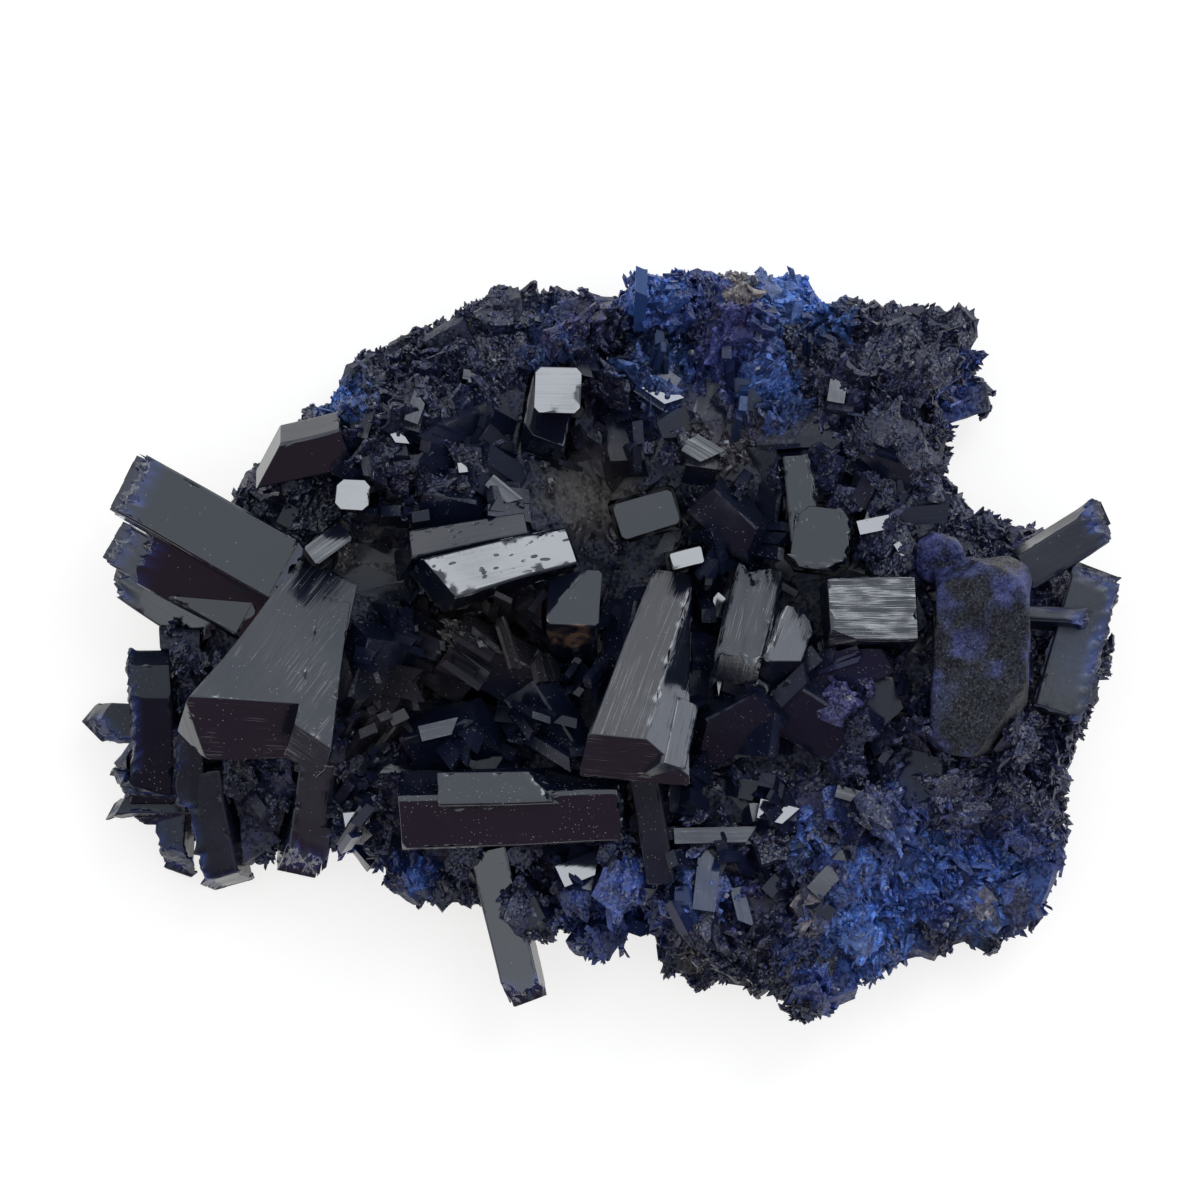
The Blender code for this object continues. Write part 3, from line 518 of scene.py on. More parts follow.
class Faces:
    """The triangles of one shape, in mm, and for each the whole face that it belongs to."""

    def __init__(self, node, worn_edge):
        solid = bmesh.new()
        solid.from_mesh(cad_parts[node].data)
        bmesh.ops.scale(solid, vec=Vector((1 / MM,) * 3), verts=solid.verts)
        bmesh.ops.remove_doubles(solid, verts=solid.verts, dist=MERGE)
        bmesh.ops.dissolve_limit(solid, angle_limit=FLAT, verts=solid.verts, edges=solid.edges)
        if worn_edge:
            outer = [e for e in solid.edges if e.is_manifold and e.is_convex and e.calc_face_angle() > SHARP]
            bmesh.ops.bevel(
                solid, geom=outer, offset=worn_edge, segments=1, profile=0.5, affect="EDGES",
                clamp_overlap=False)
        layer = solid.faces.layers.int.new("owner")
        grains, normals, areas, sides = [], [], [], []
        for k, face in enumerate(solid.faces):
            face[layer] = k
            longest = max(face.edges, key=lambda e: e.calc_length())
            grains.append((longest.verts[1].co - longest.verts[0].co).normalized())
            normals.append(face.normal.copy())
            areas.append(face.calc_area())
            sides.append(len(face.verts))
        bmesh.ops.triangulate(solid, faces=solid.faces)
        self.grain, self.normal = np.array(grains), np.array(normals)
        self.area, self.sides = np.array(areas), np.array(sides)
        self.points = np.array([v.co for v in solid.verts])
        self.triangles = np.array([[v.index for v in f.verts] for f in solid.faces])
        self.owner = np.array([f[layer] for f in solid.faces])
        solid.free()

    def refine(self, longest):
        """Halves each triangle's longest side while it is over longest.

        A triangle whose sides have 1, 2 or 3 such halvings, its neighbours' included, becomes 2, 3 or
        4. Halving the shorter sides too would fill a long face with slivers.
        """
        while True:
            sides = np.sort(self.triangles[:, [[0, 1], [1, 2], [2, 0]]], axis=2).reshape(-1, 2)
            edges, number = np.unique(sides, axis=0, return_inverse=True)
            number = number.reshape(-1, 3)
            ends = self.points[edges]
            length = np.linalg.norm(ends[:, 0] - ends[:, 1], axis=1)
            widest = number[np.arange(len(number)), length[number].argmax(axis=1)]
            over = np.zeros(len(edges), bool)
            over[widest[length[widest] > longest]] = True
            if not over.any():
                return
            middle = np.full(len(edges), -1)
            middle[over] = len(self.points) + np.arange(over.sum())
            self.points = np.vstack([self.points, ends[over].mean(axis=1)])
            middle = middle[number]
            split = (middle >= 0).sum(axis=1)
            first = np.where(split == 1, (middle >= 0).argmax(1), (middle < 0).argmax(1) + 1) % 3
            turn = (first[:, None] + np.arange(3)) % 3
            rows = np.arange(len(turn))[:, None]
            a, b, c = self.triangles[rows, turn].T
            p, q, r = middle[rows, turn].T
            cases = (
                (0, ((a, b, c),)),
                (1, ((a, p, c), (p, b, c))),
                (2, ((p, b, q), (a, p, q), (a, q, c))),
                (3, ((a, p, r), (p, b, q), (r, q, c), (p, q, r))),
            )
            made, owned = [], []
            for count, parts in cases:
                for part in parts:
                    made.append(np.stack(part, axis=1)[split == count])
                    owned.append(self.owner[split == count])
            self.triangles, self.owner = np.concatenate(made), np.concatenate(owned)

    def borders(self):
        """For each point the lowest and the highest number of the faces that it lies in."""
        low = np.full(len(self.points), len(self.area))
        high = np.full(len(self.points), -1)
        for k in range(3):
            np.minimum.at(low, self.triangles[:, k], self.owner)
            np.maximum.at(high, self.triangles[:, k], self.owner)
        return low, high

    def inside(self):
        """For each point the face that it lies in, or -1 on the border between two faces."""
        low, high = self.borders()
        return np.where(low == high, low, -1)

    def on_edge(self):
        """True for points on a border between faces that meet at an angle."""
        low, high = self.borders()
        return np.sum(self.normal[low] * self.normal[high], axis=1) < EDGE_COSINE

    def soften(self, rounds):
        """Moves each point a third of the way to the mean of its neighbours, rounds times."""
        sides = np.sort(self.triangles[:, [[0, 1], [1, 2], [2, 0]]], axis=2).reshape(-1, 2)
        one, other = np.unique(sides, axis=0).T
        count = np.bincount(np.concatenate([one, other]), minlength=len(self.points))[:, None]
        for _ in range(rounds):
            total = np.zeros_like(self.points)
            np.add.at(total, one, self.points[other])
            np.add.at(total, other, self.points[one])
            self.points = self.points + (total / count - self.points) / 3

    def point_normals(self):
        """For each point the mean normal of its triangles, the large ones counting for more."""
        a, b, c = (self.points[self.triangles[:, k]] for k in range(3))
        cross = np.cross(b - a, c - a)
        total = np.zeros_like(self.points)
        for k in range(3):
            np.add.at(total, self.triangles[:, k], cross)
        return unit(total)

    def along_across(self, points, owner):
        """How far points lie along and across the grain of their faces."""
        across = np.cross(self.normal[owner], self.grain[owner])
        return np.sum(points * self.grain[owner], axis=1), np.sum(points * across, axis=1)


print("whole faces, refinement and grain ready")


# %% Slow bends, ragged ends and growth relief
BEND_WAVE, BEND = 6.5, 0.16  # mm
BEND_FULL = 4.0  # the height in mm from which the bend has its full size
INWARDS = 0.45  # how far inside a face, in mm, its distance from the end is taken


def bend(points):
    """Moves points by slow noise, the same for all shapes, but not at the flat underside."""
    move = np.stack([lattice_noise(points, BEND_WAVE, 61 + k) for k in range(3)], axis=1)
    return points + BEND * move * np.clip(points[:, 2:] / BEND_FULL, 0, 1)


def ragged_end(faces, points, aim, depth, wave):
    """Points with the end that faces aim worn back by noise, and how far each was worn.

    The noise has one value along aim, so the end becomes a comb. A point wears by the share
    1 - gap / (1.6 depth), where gap is how far the solid goes on from it towards aim.
    """
    tree = BVHTree.FromPolygons(faces.points.tolist(), faces.triangles.tolist())
    aim = toward(*aim)
    starts = points - INWARDS * faces.point_normals()
    gaps = [tree.ray_cast(Vector(p), Vector(aim))[3] or 99.0 for p in starts]
    gaps = np.array(gaps) + (starts - points) @ aim
    level = points - np.outer(points @ aim, aim)
    comb = 0.5 + 0.5 * lattice_noise(level, wave, 71) + 0.35 * lattice_noise(level, wave / 2.6, 72)
    worn = np.clip(comb, 0, 1) * depth * np.clip(1 - gaps / (1.6 * depth), 0, 1)
    return points - np.outer(worn, aim), worn


def growth_relief(faces, owner, points, wave, height):
    """Low ridges: height times noise of one wave across the grain and fourteen along it.

    Half as much of a noise with half the wave is added, and each face reads its own part of both.
    """
    along, across = faces.along_across(points, owner)
    place = np.stack([along / (14 * wave), across / wave, owner * 3.7], axis=1)
    return height * (lattice_noise(place, 1.0, 21) + 0.5 * lattice_noise(place * (2, 2.3, 1), 1.0, 22))


print("bends of up to", BEND, "mm in waves of", BEND_WAVE, "mm")


# %% Colours, grain map and names
THIN_SHARE = 0.3  # a small crystal is thin, so this share of its stain shows
FACE_SHIFT = 7.31  # mm on the grain map from one face to the next


def put_stain(data, colours, share=THIN_SHARE):
    """Stores the colours. Their alpha is the share of the stain that shows through glass."""
    layer = data.attributes.new("stain", "FLOAT_COLOR", "POINT")
    full = np.column_stack([colours, np.broadcast_to(share, len(colours))])
    layer.data.foreach_set("color", full.astype(np.float32).ravel())


def finish_piece(name, faces, grain_points, colours, material, nodes, share=0.1):
    """Makes the object, with its grain map and its stain, hangs it on the root body and hides the CAD nodes
    that it stands for.

    The map is how far each corner lies along and across the grain, plus a shift for its face, so
    that no two faces show the same part of a pattern.
    """
    corners = faces.triangles.ravel()
    data = plain_mesh(name, bend(faces.points), corners, np.full(len(faces.triangles), 3))
    owner = np.repeat(faces.owner, 3)
    along, across = faces.along_across(grain_points[corners], owner)
    grain = data.uv_layers.new(name="grain")
    shift = owner * FACE_SHIFT
    grain.data.foreach_set("uv", np.stack([along + shift, across + shift], 1).astype(np.float32).ravel())
    put_stain(data, colours, share)
    data.set_sharp_from_angle(angle=SHARP)
    piece = place_piece(name, data, material)
    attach(piece, "root")
    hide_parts(*nodes)
    return piece


print("grain maps start", FACE_SHIFT, "mm apart")

# %% [markdown]
# ## The large crystals
#
# The large crystals are long prisms with flat glassy faces. Their solids already have the shape, so
# each piece is its CAD node with the marks of growth and wear: low terraces along the grain, nicks in
# the edges, and on some a ragged end that shows blue. Bump alone could draw these marks, but then
# every outline would stay as straight as a ruler.

# %% What each large crystal is like
WORN_EDGE = 0.04
PLAIN_FINE, RELIEF_FINE = 0.55, 0.34  # longest side of a triangle in mm, without and with relief
FINISH_OF = {
    "striated_prism": RIBBED_GLASS, "bright_prism": STREAKED_GLASS, "grey_prism": RIBBED_GLASS,
    "spotted_prism": PITTED_GLASS, "horn_crystal": RIBBED_GLASS, "shoulder_crystals": PITTED_GLASS,
    "long_bar": DUSTY_GLASS, "right_crystals": COATED_GLASS, "corner_prisms": DUSK_GLASS,
    "leaning_blade": DUSK_GLASS,
}
RIDGE_WAVE, PLAIN_RIDGE = 0.9, 0.004  # mm
RIDGE_HEIGHT = {"striated_prism": 0.010, "bright_prism": 0.020, "grey_prism": 0.012}
# Ragged ends: compass and tilt of the end, depth and wave in mm.
RAGGED = {
    "left_blades": ((152, 90), 1.3, 0.7), "right_crystals": ((18, 88), 1.1, 0.6),
    "lower_blade": ((285, 95), 1.0, 0.5), "grey_prism": ((88, 110), 1.5, 0.8),
    "corner_prisms": ((215, 100), 0.8, 0.6), "south_west_tip": ((262, 100), 0.9, 0.5),
    "long_bar": ((15, 88), 0.5, 0.6), "shoulder_crystals": ((335, 95), 0.8, 0.7),
}
UNSTAINED = ("shoulder_crystals", "long_bar", "grey_prism")  # ragged, but not blue there
END_BLUE = np.array((0.020, 0.045, 0.210))
CHIP, CHIP_WAVE, CHIP_FROM = 0.16, 0.7, 0.35  # depth and wavelength of the nicks, and where they start
DEEP_SHARE = 0.08  # share of the stain that shows through thick glass
# The painted bronze glint, a highlight painted into the colour: its crystal, middle, half-sizes and
# wavelength in mm, and its colour.
GLINT_ON, GLINT_PLACE, GLINT_SIZE, GLINT_WAVE = "bronze_prism", np.array([-2.0, 0.7, 0]), (1.9, 0.8), 0.45
PAINTED_GLINT_COLOUR = np.array((0.34, 0.21, 0.10))
print(len(RAGGED), "ragged ends,", len(RIDGE_HEIGHT), "ribbed crystals")


# %% Dressing the large crystals
crystal_triangles, crystal_points = [], []


def keep_clear_of(faces):
    """Remembers a finished surface, so that nothing grown later pierces it."""
    crystal_triangles.append(faces.triangles + sum(len(p) for p in crystal_points))
    crystal_points.append(bend(faces.points))


def blend_colours(colours, paint, share):
    """Each colour moved towards paint by its share."""
    return colours + (paint - colours) * share[:, None]


def dress_crystal(node):
    """The glass piece that stands for a CAD node.

    A point inside a face rises by the growth relief. A point on an edge sinks by a nick, which is
    CHIP times what the noise has over CHIP_FROM, and a ragged end is worn back.
    """
    faces = Faces(node, WORN_EDGE)
    faces.refine(RELIEF_FINE if node in RIDGE_HEIGHT or node in RAGGED else PLAIN_FINE)
    flat = faces.points.copy()
    owner = faces.inside()
    within = owner >= 0
    ridge = growth_relief(
        faces, owner[within], flat[within], RIDGE_WAVE, RIDGE_HEIGHT.get(node, PLAIN_RIDGE))
    nick = CHIP * np.clip(lattice_noise(flat, CHIP_WAVE, 5) - CHIP_FROM, 0, 1) / (1 - CHIP_FROM)
    colours, share = stain(flat), DEEP_SHARE
    if node in RAGGED:
        shaped, worn = ragged_end(faces, flat, *RAGGED[node])
        blue = np.clip(1.3 * worn / RAGGED[node][1], 0, 1) * (node not in UNSTAINED)
        colours = blend_colours(colours, END_BLUE, blue)
        share = DEEP_SHARE + 0.8 * blue
    # Painted highlight: a bronze glint is painted into the colour of the bronze prism, in a ragged patch
    # round GLINT_PLACE.
    if node == GLINT_ON:
        near = 1 - np.linalg.norm((flat - GLINT_PLACE)[:, :2] / GLINT_SIZE, axis=1)
        painted_glint = np.clip(0.7 * near + 0.9 * lattice_noise(flat, GLINT_WAVE, 75), 0, 0.7) * (near > 0)
        colours = blend_colours(colours, PAINTED_GLINT_COLOUR, painted_glint)
        share = DEEP_SHARE + 0.9 * painted_glint
    faces.points -= faces.point_normals() * np.where(faces.on_edge(), nick, 0)[:, None]
    faces.points[within] += faces.normal[owner[within]] * ridge[:, None]
    if node in RAGGED:
        faces.points += shaped - flat
    finish_piece(
        f"{node}_glass", faces, flat, colours, FINISH_OF.get(node, GLASS), [node], share)
    keep_clear_of(faces)


for node in sorted(set(CRYSTALS) - {BLADE}):
    dress_crystal(node)
print(sum(len(t) for t in crystal_triangles), "triangles in the large crystals")

# %% [markdown]
# ## The coated blade
#
# One wide blade is covered all over by fine druse, so it has no sharp edges and no glassy face. Its
# copy is softened until its corners are round, and then roughened by noise the size of the grains.

# %% The coated blade
BLADE_FINE, BLADE_ROUNDS = 0.42, 9  # longest side of a triangle in mm, and rounds of softening
BLADE_LUMPS = ((2.6, 0.20), (0.9, 0.08))  # wavelength and height of the coat's lumps in mm
COAT_THICK = 0.10
BLADE_DARK, BLADE_BLUE = np.array((0.004, 0.006, 0.013)), np.array((0.048, 0.058, 0.175))

blade = Faces(BLADE, 0.0)
blade.refine(BLADE_FINE)
flat = blade.points.copy()
blade.soften(BLADE_ROUNDS)
lumps = sum(height * lattice_noise(flat, wave, 51 + k) for k, (wave, height) in enumerate(BLADE_LUMPS))
blade.points += blade.point_normals() * (lumps + COAT_THICK)[:, None]
mottle = lattice_noise(flat, 2.0, 55) + 0.8 * lattice_noise(flat, 0.7, 56)
blued = np.clip(0.40 + mottle + 0.06 * (flat[:, 1] - 4), 0, 1)[:, None]  # bluer towards the back
blade_colour = BLADE_DARK * (1 - blued) + BLADE_BLUE * blued
finish_piece("druse_blade_coated", blade, flat, blade_colour, COAT, [BLADE])
keep_clear_of(blade)
print(len(blade.triangles), "triangles in the coated blade")

# %% [markdown]
# ## The base
#
# The base is a broken, stained crust with small crystals half buried in it. Its whole flat faces are
# those crystals, and stay nearly smooth. Everything else is roughened by noise of two sizes. The
# underside keeps its flat face, because the specimen rests on it, and only has pits in it.

# %% The roughened base
BASE_FINE = 0.78  # longest side of a triangle in mm
CRUST = ((2.2, 0.16), (0.8, 0.12))  # wavelength and height of the crust's roughness in mm
FACET_AREA = 1.2  # square mm from which a whole face counts as a buried crystal
FACET_ROUGH, UNDER_ROUGH = 0.20, 1.2  # shares of the roughness on buried crystals and underneath
UNDERSIDE = 0.01  # mm

base = Faces(BASE, 0.0)
base.refine(BASE_FINE)
flat = base.points.copy()
facet = (base.sides > 3) & (base.area > FACET_AREA)
owner = base.inside()
smooth = (owner >= 0) & facet[np.maximum(owner, 0)]
rise = sum(height * lattice_noise(flat, wave, 31 + k) for k, (wave, height) in enumerate(CRUST))
rise = np.where(smooth, FACET_ROUGH * rise, rise)
rise = np.where(flat[:, 2] < UNDERSIDE, -np.abs(rise) * UNDER_ROUGH, rise)
base.points += base.point_normals() * rise[:, None]
base.points[:, 2] = np.maximum(base.points[:, 2], 0)
base_piece = finish_piece("druse_crust", base, flat, 0.8 * stain(flat), MATRIX, [BASE], THIN_SHARE)
print(len(base.triangles), "triangles in the base,", int(facet.sum()), "buried crystals")

# %% Glass on the buried crystals, except near the rim, where the crust covers them
RIM_OVAL = (34, 24)  # half-sizes in mm of an oval close to the rim
GLASSY_WITHIN = 0.82  # of that oval

base_piece.data.materials.append(DUSK_GLASS)
base_centre = base.points[base.triangles].mean(axis=1)
far_out = np.hypot(base_centre[:, 0] / RIM_OVAL[0], base_centre[:, 1] / RIM_OVAL[1])
shiny = facet[base.owner] & (base.normal[base.owner][:, 2] > 0.1) & (far_out < GLASSY_WITHIN)
base_piece.data.polygons.foreach_set("material_index", shiny.astype(np.int32))
print(int(shiny.sum()), "glassy triangles")

# %% [markdown]
# ## Blades
#
# The druse is thousands of small blades. One blade is a flat prism whose end is cut by a slanting
# plane, which makes a sharp tip. All blades of a field are worked out together, as one array with
# eight points for each. Neighbours share a direction, as crystals of one growth do, so each blade
# takes the direction of the nearest of a few hundred seeds and turns a little from it.

# %% Prisms cut by a slanting end
SECTION = np.array([(-1, -1), (1, -1), (1, 1), (-1, 1)]) * 0.5
BLADE_FACES = ((3, 2, 1, 0), (4, 5, 6, 7), (0, 1, 5, 4), (1, 2, 6, 5), (2, 3, 7, 6), (3, 0, 4, 7))


def cut_prisms(root, along, out, length, width, thick, slant):
    """Points of n prisms, n x 8 x 3.

    Each long edge starts at root + width x across + thick y out, for the section's corners (x, y).
    It ends where it meets the plane through root + length along whose normal is slant, but is at
    least a tenth of length.
    """
    across = np.cross(along, out)
    start = (
        root[:, None] + across[:, None] * (SECTION[:, 0] * width[:, None])[..., None]
        + out[:, None] * (SECTION[:, 1] * thick[:, None])[..., None])
    tip = root + along * length[:, None]
    far = np.einsum("nkj,nj->nk", tip[:, None] - start, slant) / np.sum(along * slant, axis=1)[:, None]
    end = start + along[:, None] * np.maximum(far, 0.1 * length[:, None])[..., None]
    return np.concatenate([start, end], axis=1)


def upright(along, guess):
    """The direction nearest to guess that is square to along."""
    return unit(guess - along * np.sum(guess * along, axis=1)[:, None])


# %% Places for blades, kept clear of the large crystals
crystal_tree = BVHTree.FromPolygons(
    np.concatenate(crystal_points).tolist(), np.concatenate(crystal_triangles).tolist())
BOX_LOW, BOX_HIGH = (np.array(corner) / MM for corner in cad_box)
BOX_ROOM = np.array([0.7, 0.5, 0.15])  # mm that a blade may stand out of the CAD model's box
BEYOND = 0.25  # mm that it may stand out of the base's outline
SECTORS = 90  # the outline is kept as the base's farthest reach in each sector
LOWEST = 0.05  # mm over the table
TIP_GAP = 0.15  # mm between a tip and the next crystal
HIDDEN_BELOW = 3.0  # nothing grows where a crystal lies this close above, in mm


def polar(points):
    """The sector and the distance of each point, seen from above."""
    turn = np.arctan2(points[..., 1], points[..., 0]) / math.tau + 0.5
    return (turn * SECTORS).astype(int) % SECTORS, np.hypot(points[..., 0], points[..., 1])


sector, distance = polar(base.points)
rim_reach = np.zeros(SECTORS)
np.maximum.at(rim_reach, sector, distance)
print("the base reaches", round(rim_reach.min(), 1), "to", round(rim_reach.max(), 1), "mm from the middle")


def scatter(faces, keep, count, chance):
    """Random places on the kept triangles: corner a, and the shares sqrt(r) of the way to b and c."""
    a, b, c = (faces.points[faces.triangles[:, k]] for k in range(3))
    area = np.linalg.norm(np.cross(b - a, c - a), axis=1) * keep
    pick = chance.choice(len(area), count, p=area / area.sum())
    r, s = np.sqrt(chance.random((count, 1))), chance.random((count, 1))
    places = a[pick] * (1 - r) + b[pick] * (r * (1 - s)) + c[pick] * (r * s)
    return places, faces.normal[faces.owner[pick]]


def root_and_tip(points):
    """The middles of the first and last points: eight-point prisms have four of each."""
    if points.shape[1] == 8:
        return points[:, :4].mean(axis=1), points[:, 4:].mean(axis=1)
    grid = points.reshape(len(points), 2, ALONG, ACROSS, 3)
    return grid[:, :, 0].mean(axis=(1, 2)), grid[:, :, -1].mean(axis=(1, 2))


def is_open(start, direction, length):
    """True if no large crystal lies within length of start in that direction."""
    return crystal_tree.ray_cast(Vector(start), Vector(direction), length)[0] is None


def clear(points):
    """True for shapes that stay in the box, pierce no large crystal and don't lie under one."""
    low, high = points.min(axis=1), points.max(axis=1)
    fits = np.all((low > BOX_LOW - BOX_ROOM) & (high < BOX_HIGH + BOX_ROOM), axis=1)
    fits &= low[:, 2] > LOWEST
    sector, distance = polar(points)
    fits &= np.all(distance < rim_reach[sector] + BEYOND, axis=1)
    roots, tips = root_and_tip(points)
    spans = tips - roots
    lengths = np.linalg.norm(spans, axis=1)
    free = [
        ok and is_open(root, span, length + TIP_GAP) and is_open(root, (0, 0, 1), HIDDEN_BELOW)
        for ok, root, span, length in zip(fits, roots, spans, lengths)]
    return np.array(free)


def group_directions(places, seeds, chance):
    """Two random directions and a random share for each place, the same for all nearest one seed."""
    gap = np.sum((places[:, None] - seeds[None]) ** 2, axis=2)
    nearest = gap.argmin(axis=1)
    vectors, shares = unit(chance.normal(size=(len(seeds), 3))), chance.random(len(seeds))
    sides = unit(chance.normal(size=(len(seeds), 3)))
    return vectors[nearest], sides[nearest], shares[nearest]


# %% Directions for growths on the base
UP = np.array([0, 0, 1.0])
OUT_OVAL = (36, 26)  # outwards is square to an oval with these half-sizes


def growth_frames(keep, count, lean, face_up, chance):
    """Places on the base, and for each its direction of growth and the normal of its broad side.

    lean is the pull of the base's normal, up, outwards, the group and the growth's own direction.
    face_up is how far the broad side turns up, from 0, where the group decides it, to 1.
    """
    places, normals = scatter(base, keep, count, chance)
    seeds = scatter(base, keep, max(count // 6, 1), chance)[0]
    shared, side, scale = group_directions(places, seeds, chance)
    outwards = unit(places * (1 / OUT_OVAL[0] ** 2, 1 / OUT_OVAL[1] ** 2, 0))
    own = unit(chance.normal(size=(count, 3)))
    along = unit(sum(p * share for p, share in zip((normals, UP, outwards, shared, own), lean)))
    out = upright(along, UP * face_up + side * (1 - face_up) + 0.2 * own)
    return places, along, out, scale


# %% [markdown]
# ## Plates
#
# Over most of the base the blades have grown into plates, whose surface is lumpy and whose free end
# is torn like the end of a comb. A plate is a closed surface of two parameters: s runs from its root
# to its tip and t across it. It could be carved from a box, but a formula makes two thousand at once.

# %% The plate surface
ALONG, ACROSS = 5, 5  # points from root to tip, and across
PLATE_SHARP = math.radians(32)  # a plate is lumpy, so only its sharper edges stay sharp


def plate_faces():
    """Quads of one plate: its upper and lower grids, and the wall that joins their borders."""
    upper = np.arange(ALONG * ACROSS).reshape(ALONG, ACROSS)
    lower = upper + ALONG * ACROSS
    quads = np.stack([upper[:-1, :-1], upper[:-1, 1:], upper[1:, 1:], upper[1:, :-1]], -1).reshape(-1, 4)
    under = np.stack([lower[:-1, :-1], lower[1:, :-1], lower[1:, 1:], lower[:-1, 1:]], -1).reshape(-1, 4)
    ring = np.concatenate([upper[0, :-1], upper[:-1, -1], upper[-1, :0:-1], upper[:0:-1, 0]])
    after = np.roll(ring, -1)
    wall = np.stack([ring, ring + ALONG * ACROSS, after + ALONG * ACROSS, after], -1)
    return np.concatenate([quads, under, wall])


PLATE_FACES = plate_faces()
print("a plate has", 2 * ALONG * ACROSS, "points and", len(PLATE_FACES), "quads")


def plate_points(root, along, out, length, width, thick, torn, chance):
    """Points of n plates, n x 2 ALONG ACROSS x 3.

    A point lies at root + s length along + t/2 width(s) across +- h out. width(s) swells to the middle
    as 0.7 + 0.5 sin(pi s) - s^4 / 4, and h falls to the sides as 1 - 0.7 t^2 and to the tip as
    1 - 0.5 s. At the tip every column ends at its own length, shorter by up to the share torn.
    Random lumps and a slow curl across, both in proportion to thick, are added along out.
    """
    n = len(root)
    s, t = np.meshgrid(np.linspace(0, 1, ALONG), np.linspace(-1, 1, ACROSS), indexing="ij")
    s, t = s.ravel(), t.ravel()
    across = np.cross(along, out)
    tear = 1 - torn * chance.random((n, ACROSS)) - 0.25 * np.linspace(-1, 1, ACROSS) ** 2
    reach = s * np.where(s > 0.7, np.tile(tear, (1, ALONG)), 1) * length[:, None]
    side = 0.5 * t * (0.7 + 0.5 * np.sin(math.pi * s) - 0.25 * s**4) * width[:, None]
    side = side * (1 + 0.08 * chance.normal(size=(n, len(s))) * (np.abs(t) > 0.9))
    height = 0.5 * thick[:, None] * (1 - 0.7 * t**2) * (1 - 0.5 * s)
    lump = 0.05 * thick[:, None] * chance.normal(size=(2, n, len(s)))
    curl = 0.25 * thick[:, None] * np.sin(2 * t + 6 * chance.random((n, 1)))
    middle = root[:, None] + along[:, None] * reach[..., None] + across[:, None] * side[..., None]
    top = middle + out[:, None] * (curl + height + lump[0])[..., None]
    bottom = middle + out[:, None] * (curl - height + 0.4 * lump[1])[..., None]
    return np.concatenate([top, bottom], axis=1)


# %% Many shapes in one piece
SHAPE_SHIFT = 1.7  # mm on the grain map from one shape to the next


def make_many(name, points, shape_faces, colours, material):
    """One piece of n copies of a shape: points are n x m x 3, and colours has a row for each.

    Its map is how far each point lies from its shape's first point along the shape and across it.
    """
    count, size = points.shape[:2]
    corners = (np.asarray(shape_faces).ravel() + size * np.arange(count)[:, None]).ravel()
    data = plain_mesh(name, points.reshape(-1, 3), corners, np.full(len(shape_faces) * count, 4))
    grain = data.uv_layers.new(name="grain")
    start = points[:, :1]
    run = unit(points[:, size // 2:].mean(axis=1) - points[:, :size // 2].mean(axis=1))[:, None]
    along = np.sum((points - start) * run, axis=2)
    across = np.linalg.norm(points - start - along[..., None] * run, axis=2)
    flat_map = np.stack([along, across], axis=2) + np.arange(count)[:, None, None] * SHAPE_SHIFT
    grain.data.foreach_set("uv", flat_map.reshape(-1, 2)[corners].astype(np.float32).ravel())
    put_stain(data, np.repeat(colours, size, axis=0))
    data.set_sharp_from_angle(angle=PLATE_SHARP)
    piece = place_piece(name, data, material)
    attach(piece, "root")
    print(name, count, "shapes,", 2 * len(shape_faces) * count, "triangles")


def plates(name, keep, count, length, width, thick, lean, face_up, seed, torn=0.35, sink=0.45):
    """A piece of plates on the base. Sizes are in mm, and the share sink of a plate lies below it."""
    chance = np.random.default_rng(seed)
    places, along, out, scale = growth_frames(keep, count, lean, face_up, chance)
    long = chance.uniform(*length, count) * (0.7 + 0.6 * scale)
    wide = chance.uniform(*width, count)
    deep = chance.uniform(*thick, count)
    roots = places - along * (sink * long)[:, None]
    points = plate_points(roots, along, out, long * (1 + sink), wide, deep, torn, chance)
    points = points[clear(points)]
    colours = stain(points[:, ALONG * ACROSS - 3]) * chance.uniform(0.6, 1.4, (len(points), 1))
    make_many(name, points, PLATE_FACES, colours, DRUSE)
    return points


# %% [markdown]
# ## Crumbs and fans
#
# Seen close, the crust is fine grains and sheaves of thin blades that grew over the plates. Both are
# the cut prism again, from 0.1 to 1.5 mm long, set on the plates' own points. A particle system could
# scatter them, but with arrays each one can be tested against the crystals before it is made.

# %% Crumbs
PALE_CRUMB, PALE_SHARE = (0.30, 0.31, 0.34), 0.05  # a few grains are pale


def crumbs(name, shapes, count, size, seed):
    """A piece of small grains, each between two neighbouring points of a plate, turned anyhow."""
    chance = np.random.default_rng(seed)
    plate = chance.integers(len(shapes), size=count)
    first = chance.integers(ALONG * ACROSS, size=count)
    second = np.minimum(first + chance.choice((1, ACROSS), count), ALONG * ACROSS - 1)
    share = chance.random((count, 1))
    places = shapes[plate, first] * share + shapes[plate, second] * (1 - share)
    along = unit(chance.normal(size=(count, 3)))
    out = upright(along, unit(chance.normal(size=(count, 3))))
    wide = chance.uniform(*size, count)
    slant = unit(along + 0.5 * chance.normal(size=(count, 3)))
    slant = np.where(np.sum(slant * along, axis=1)[:, None] > 0.4, slant, along)  # no needles
    points = cut_prisms(places - along * wide[:, None] / 2, along, out, wide, wide, 0.8 * wide, slant)
    points = points[clear(points)]
    colours = stain(points[:, 4:].mean(axis=1)) * chance.uniform(0.6, 1.9, (len(points), 1))
    colours[chance.random(len(points)) < PALE_SHARE] = PALE_CRUMB
    make_many(name, points, BLADE_FACES, colours, DRUSE)


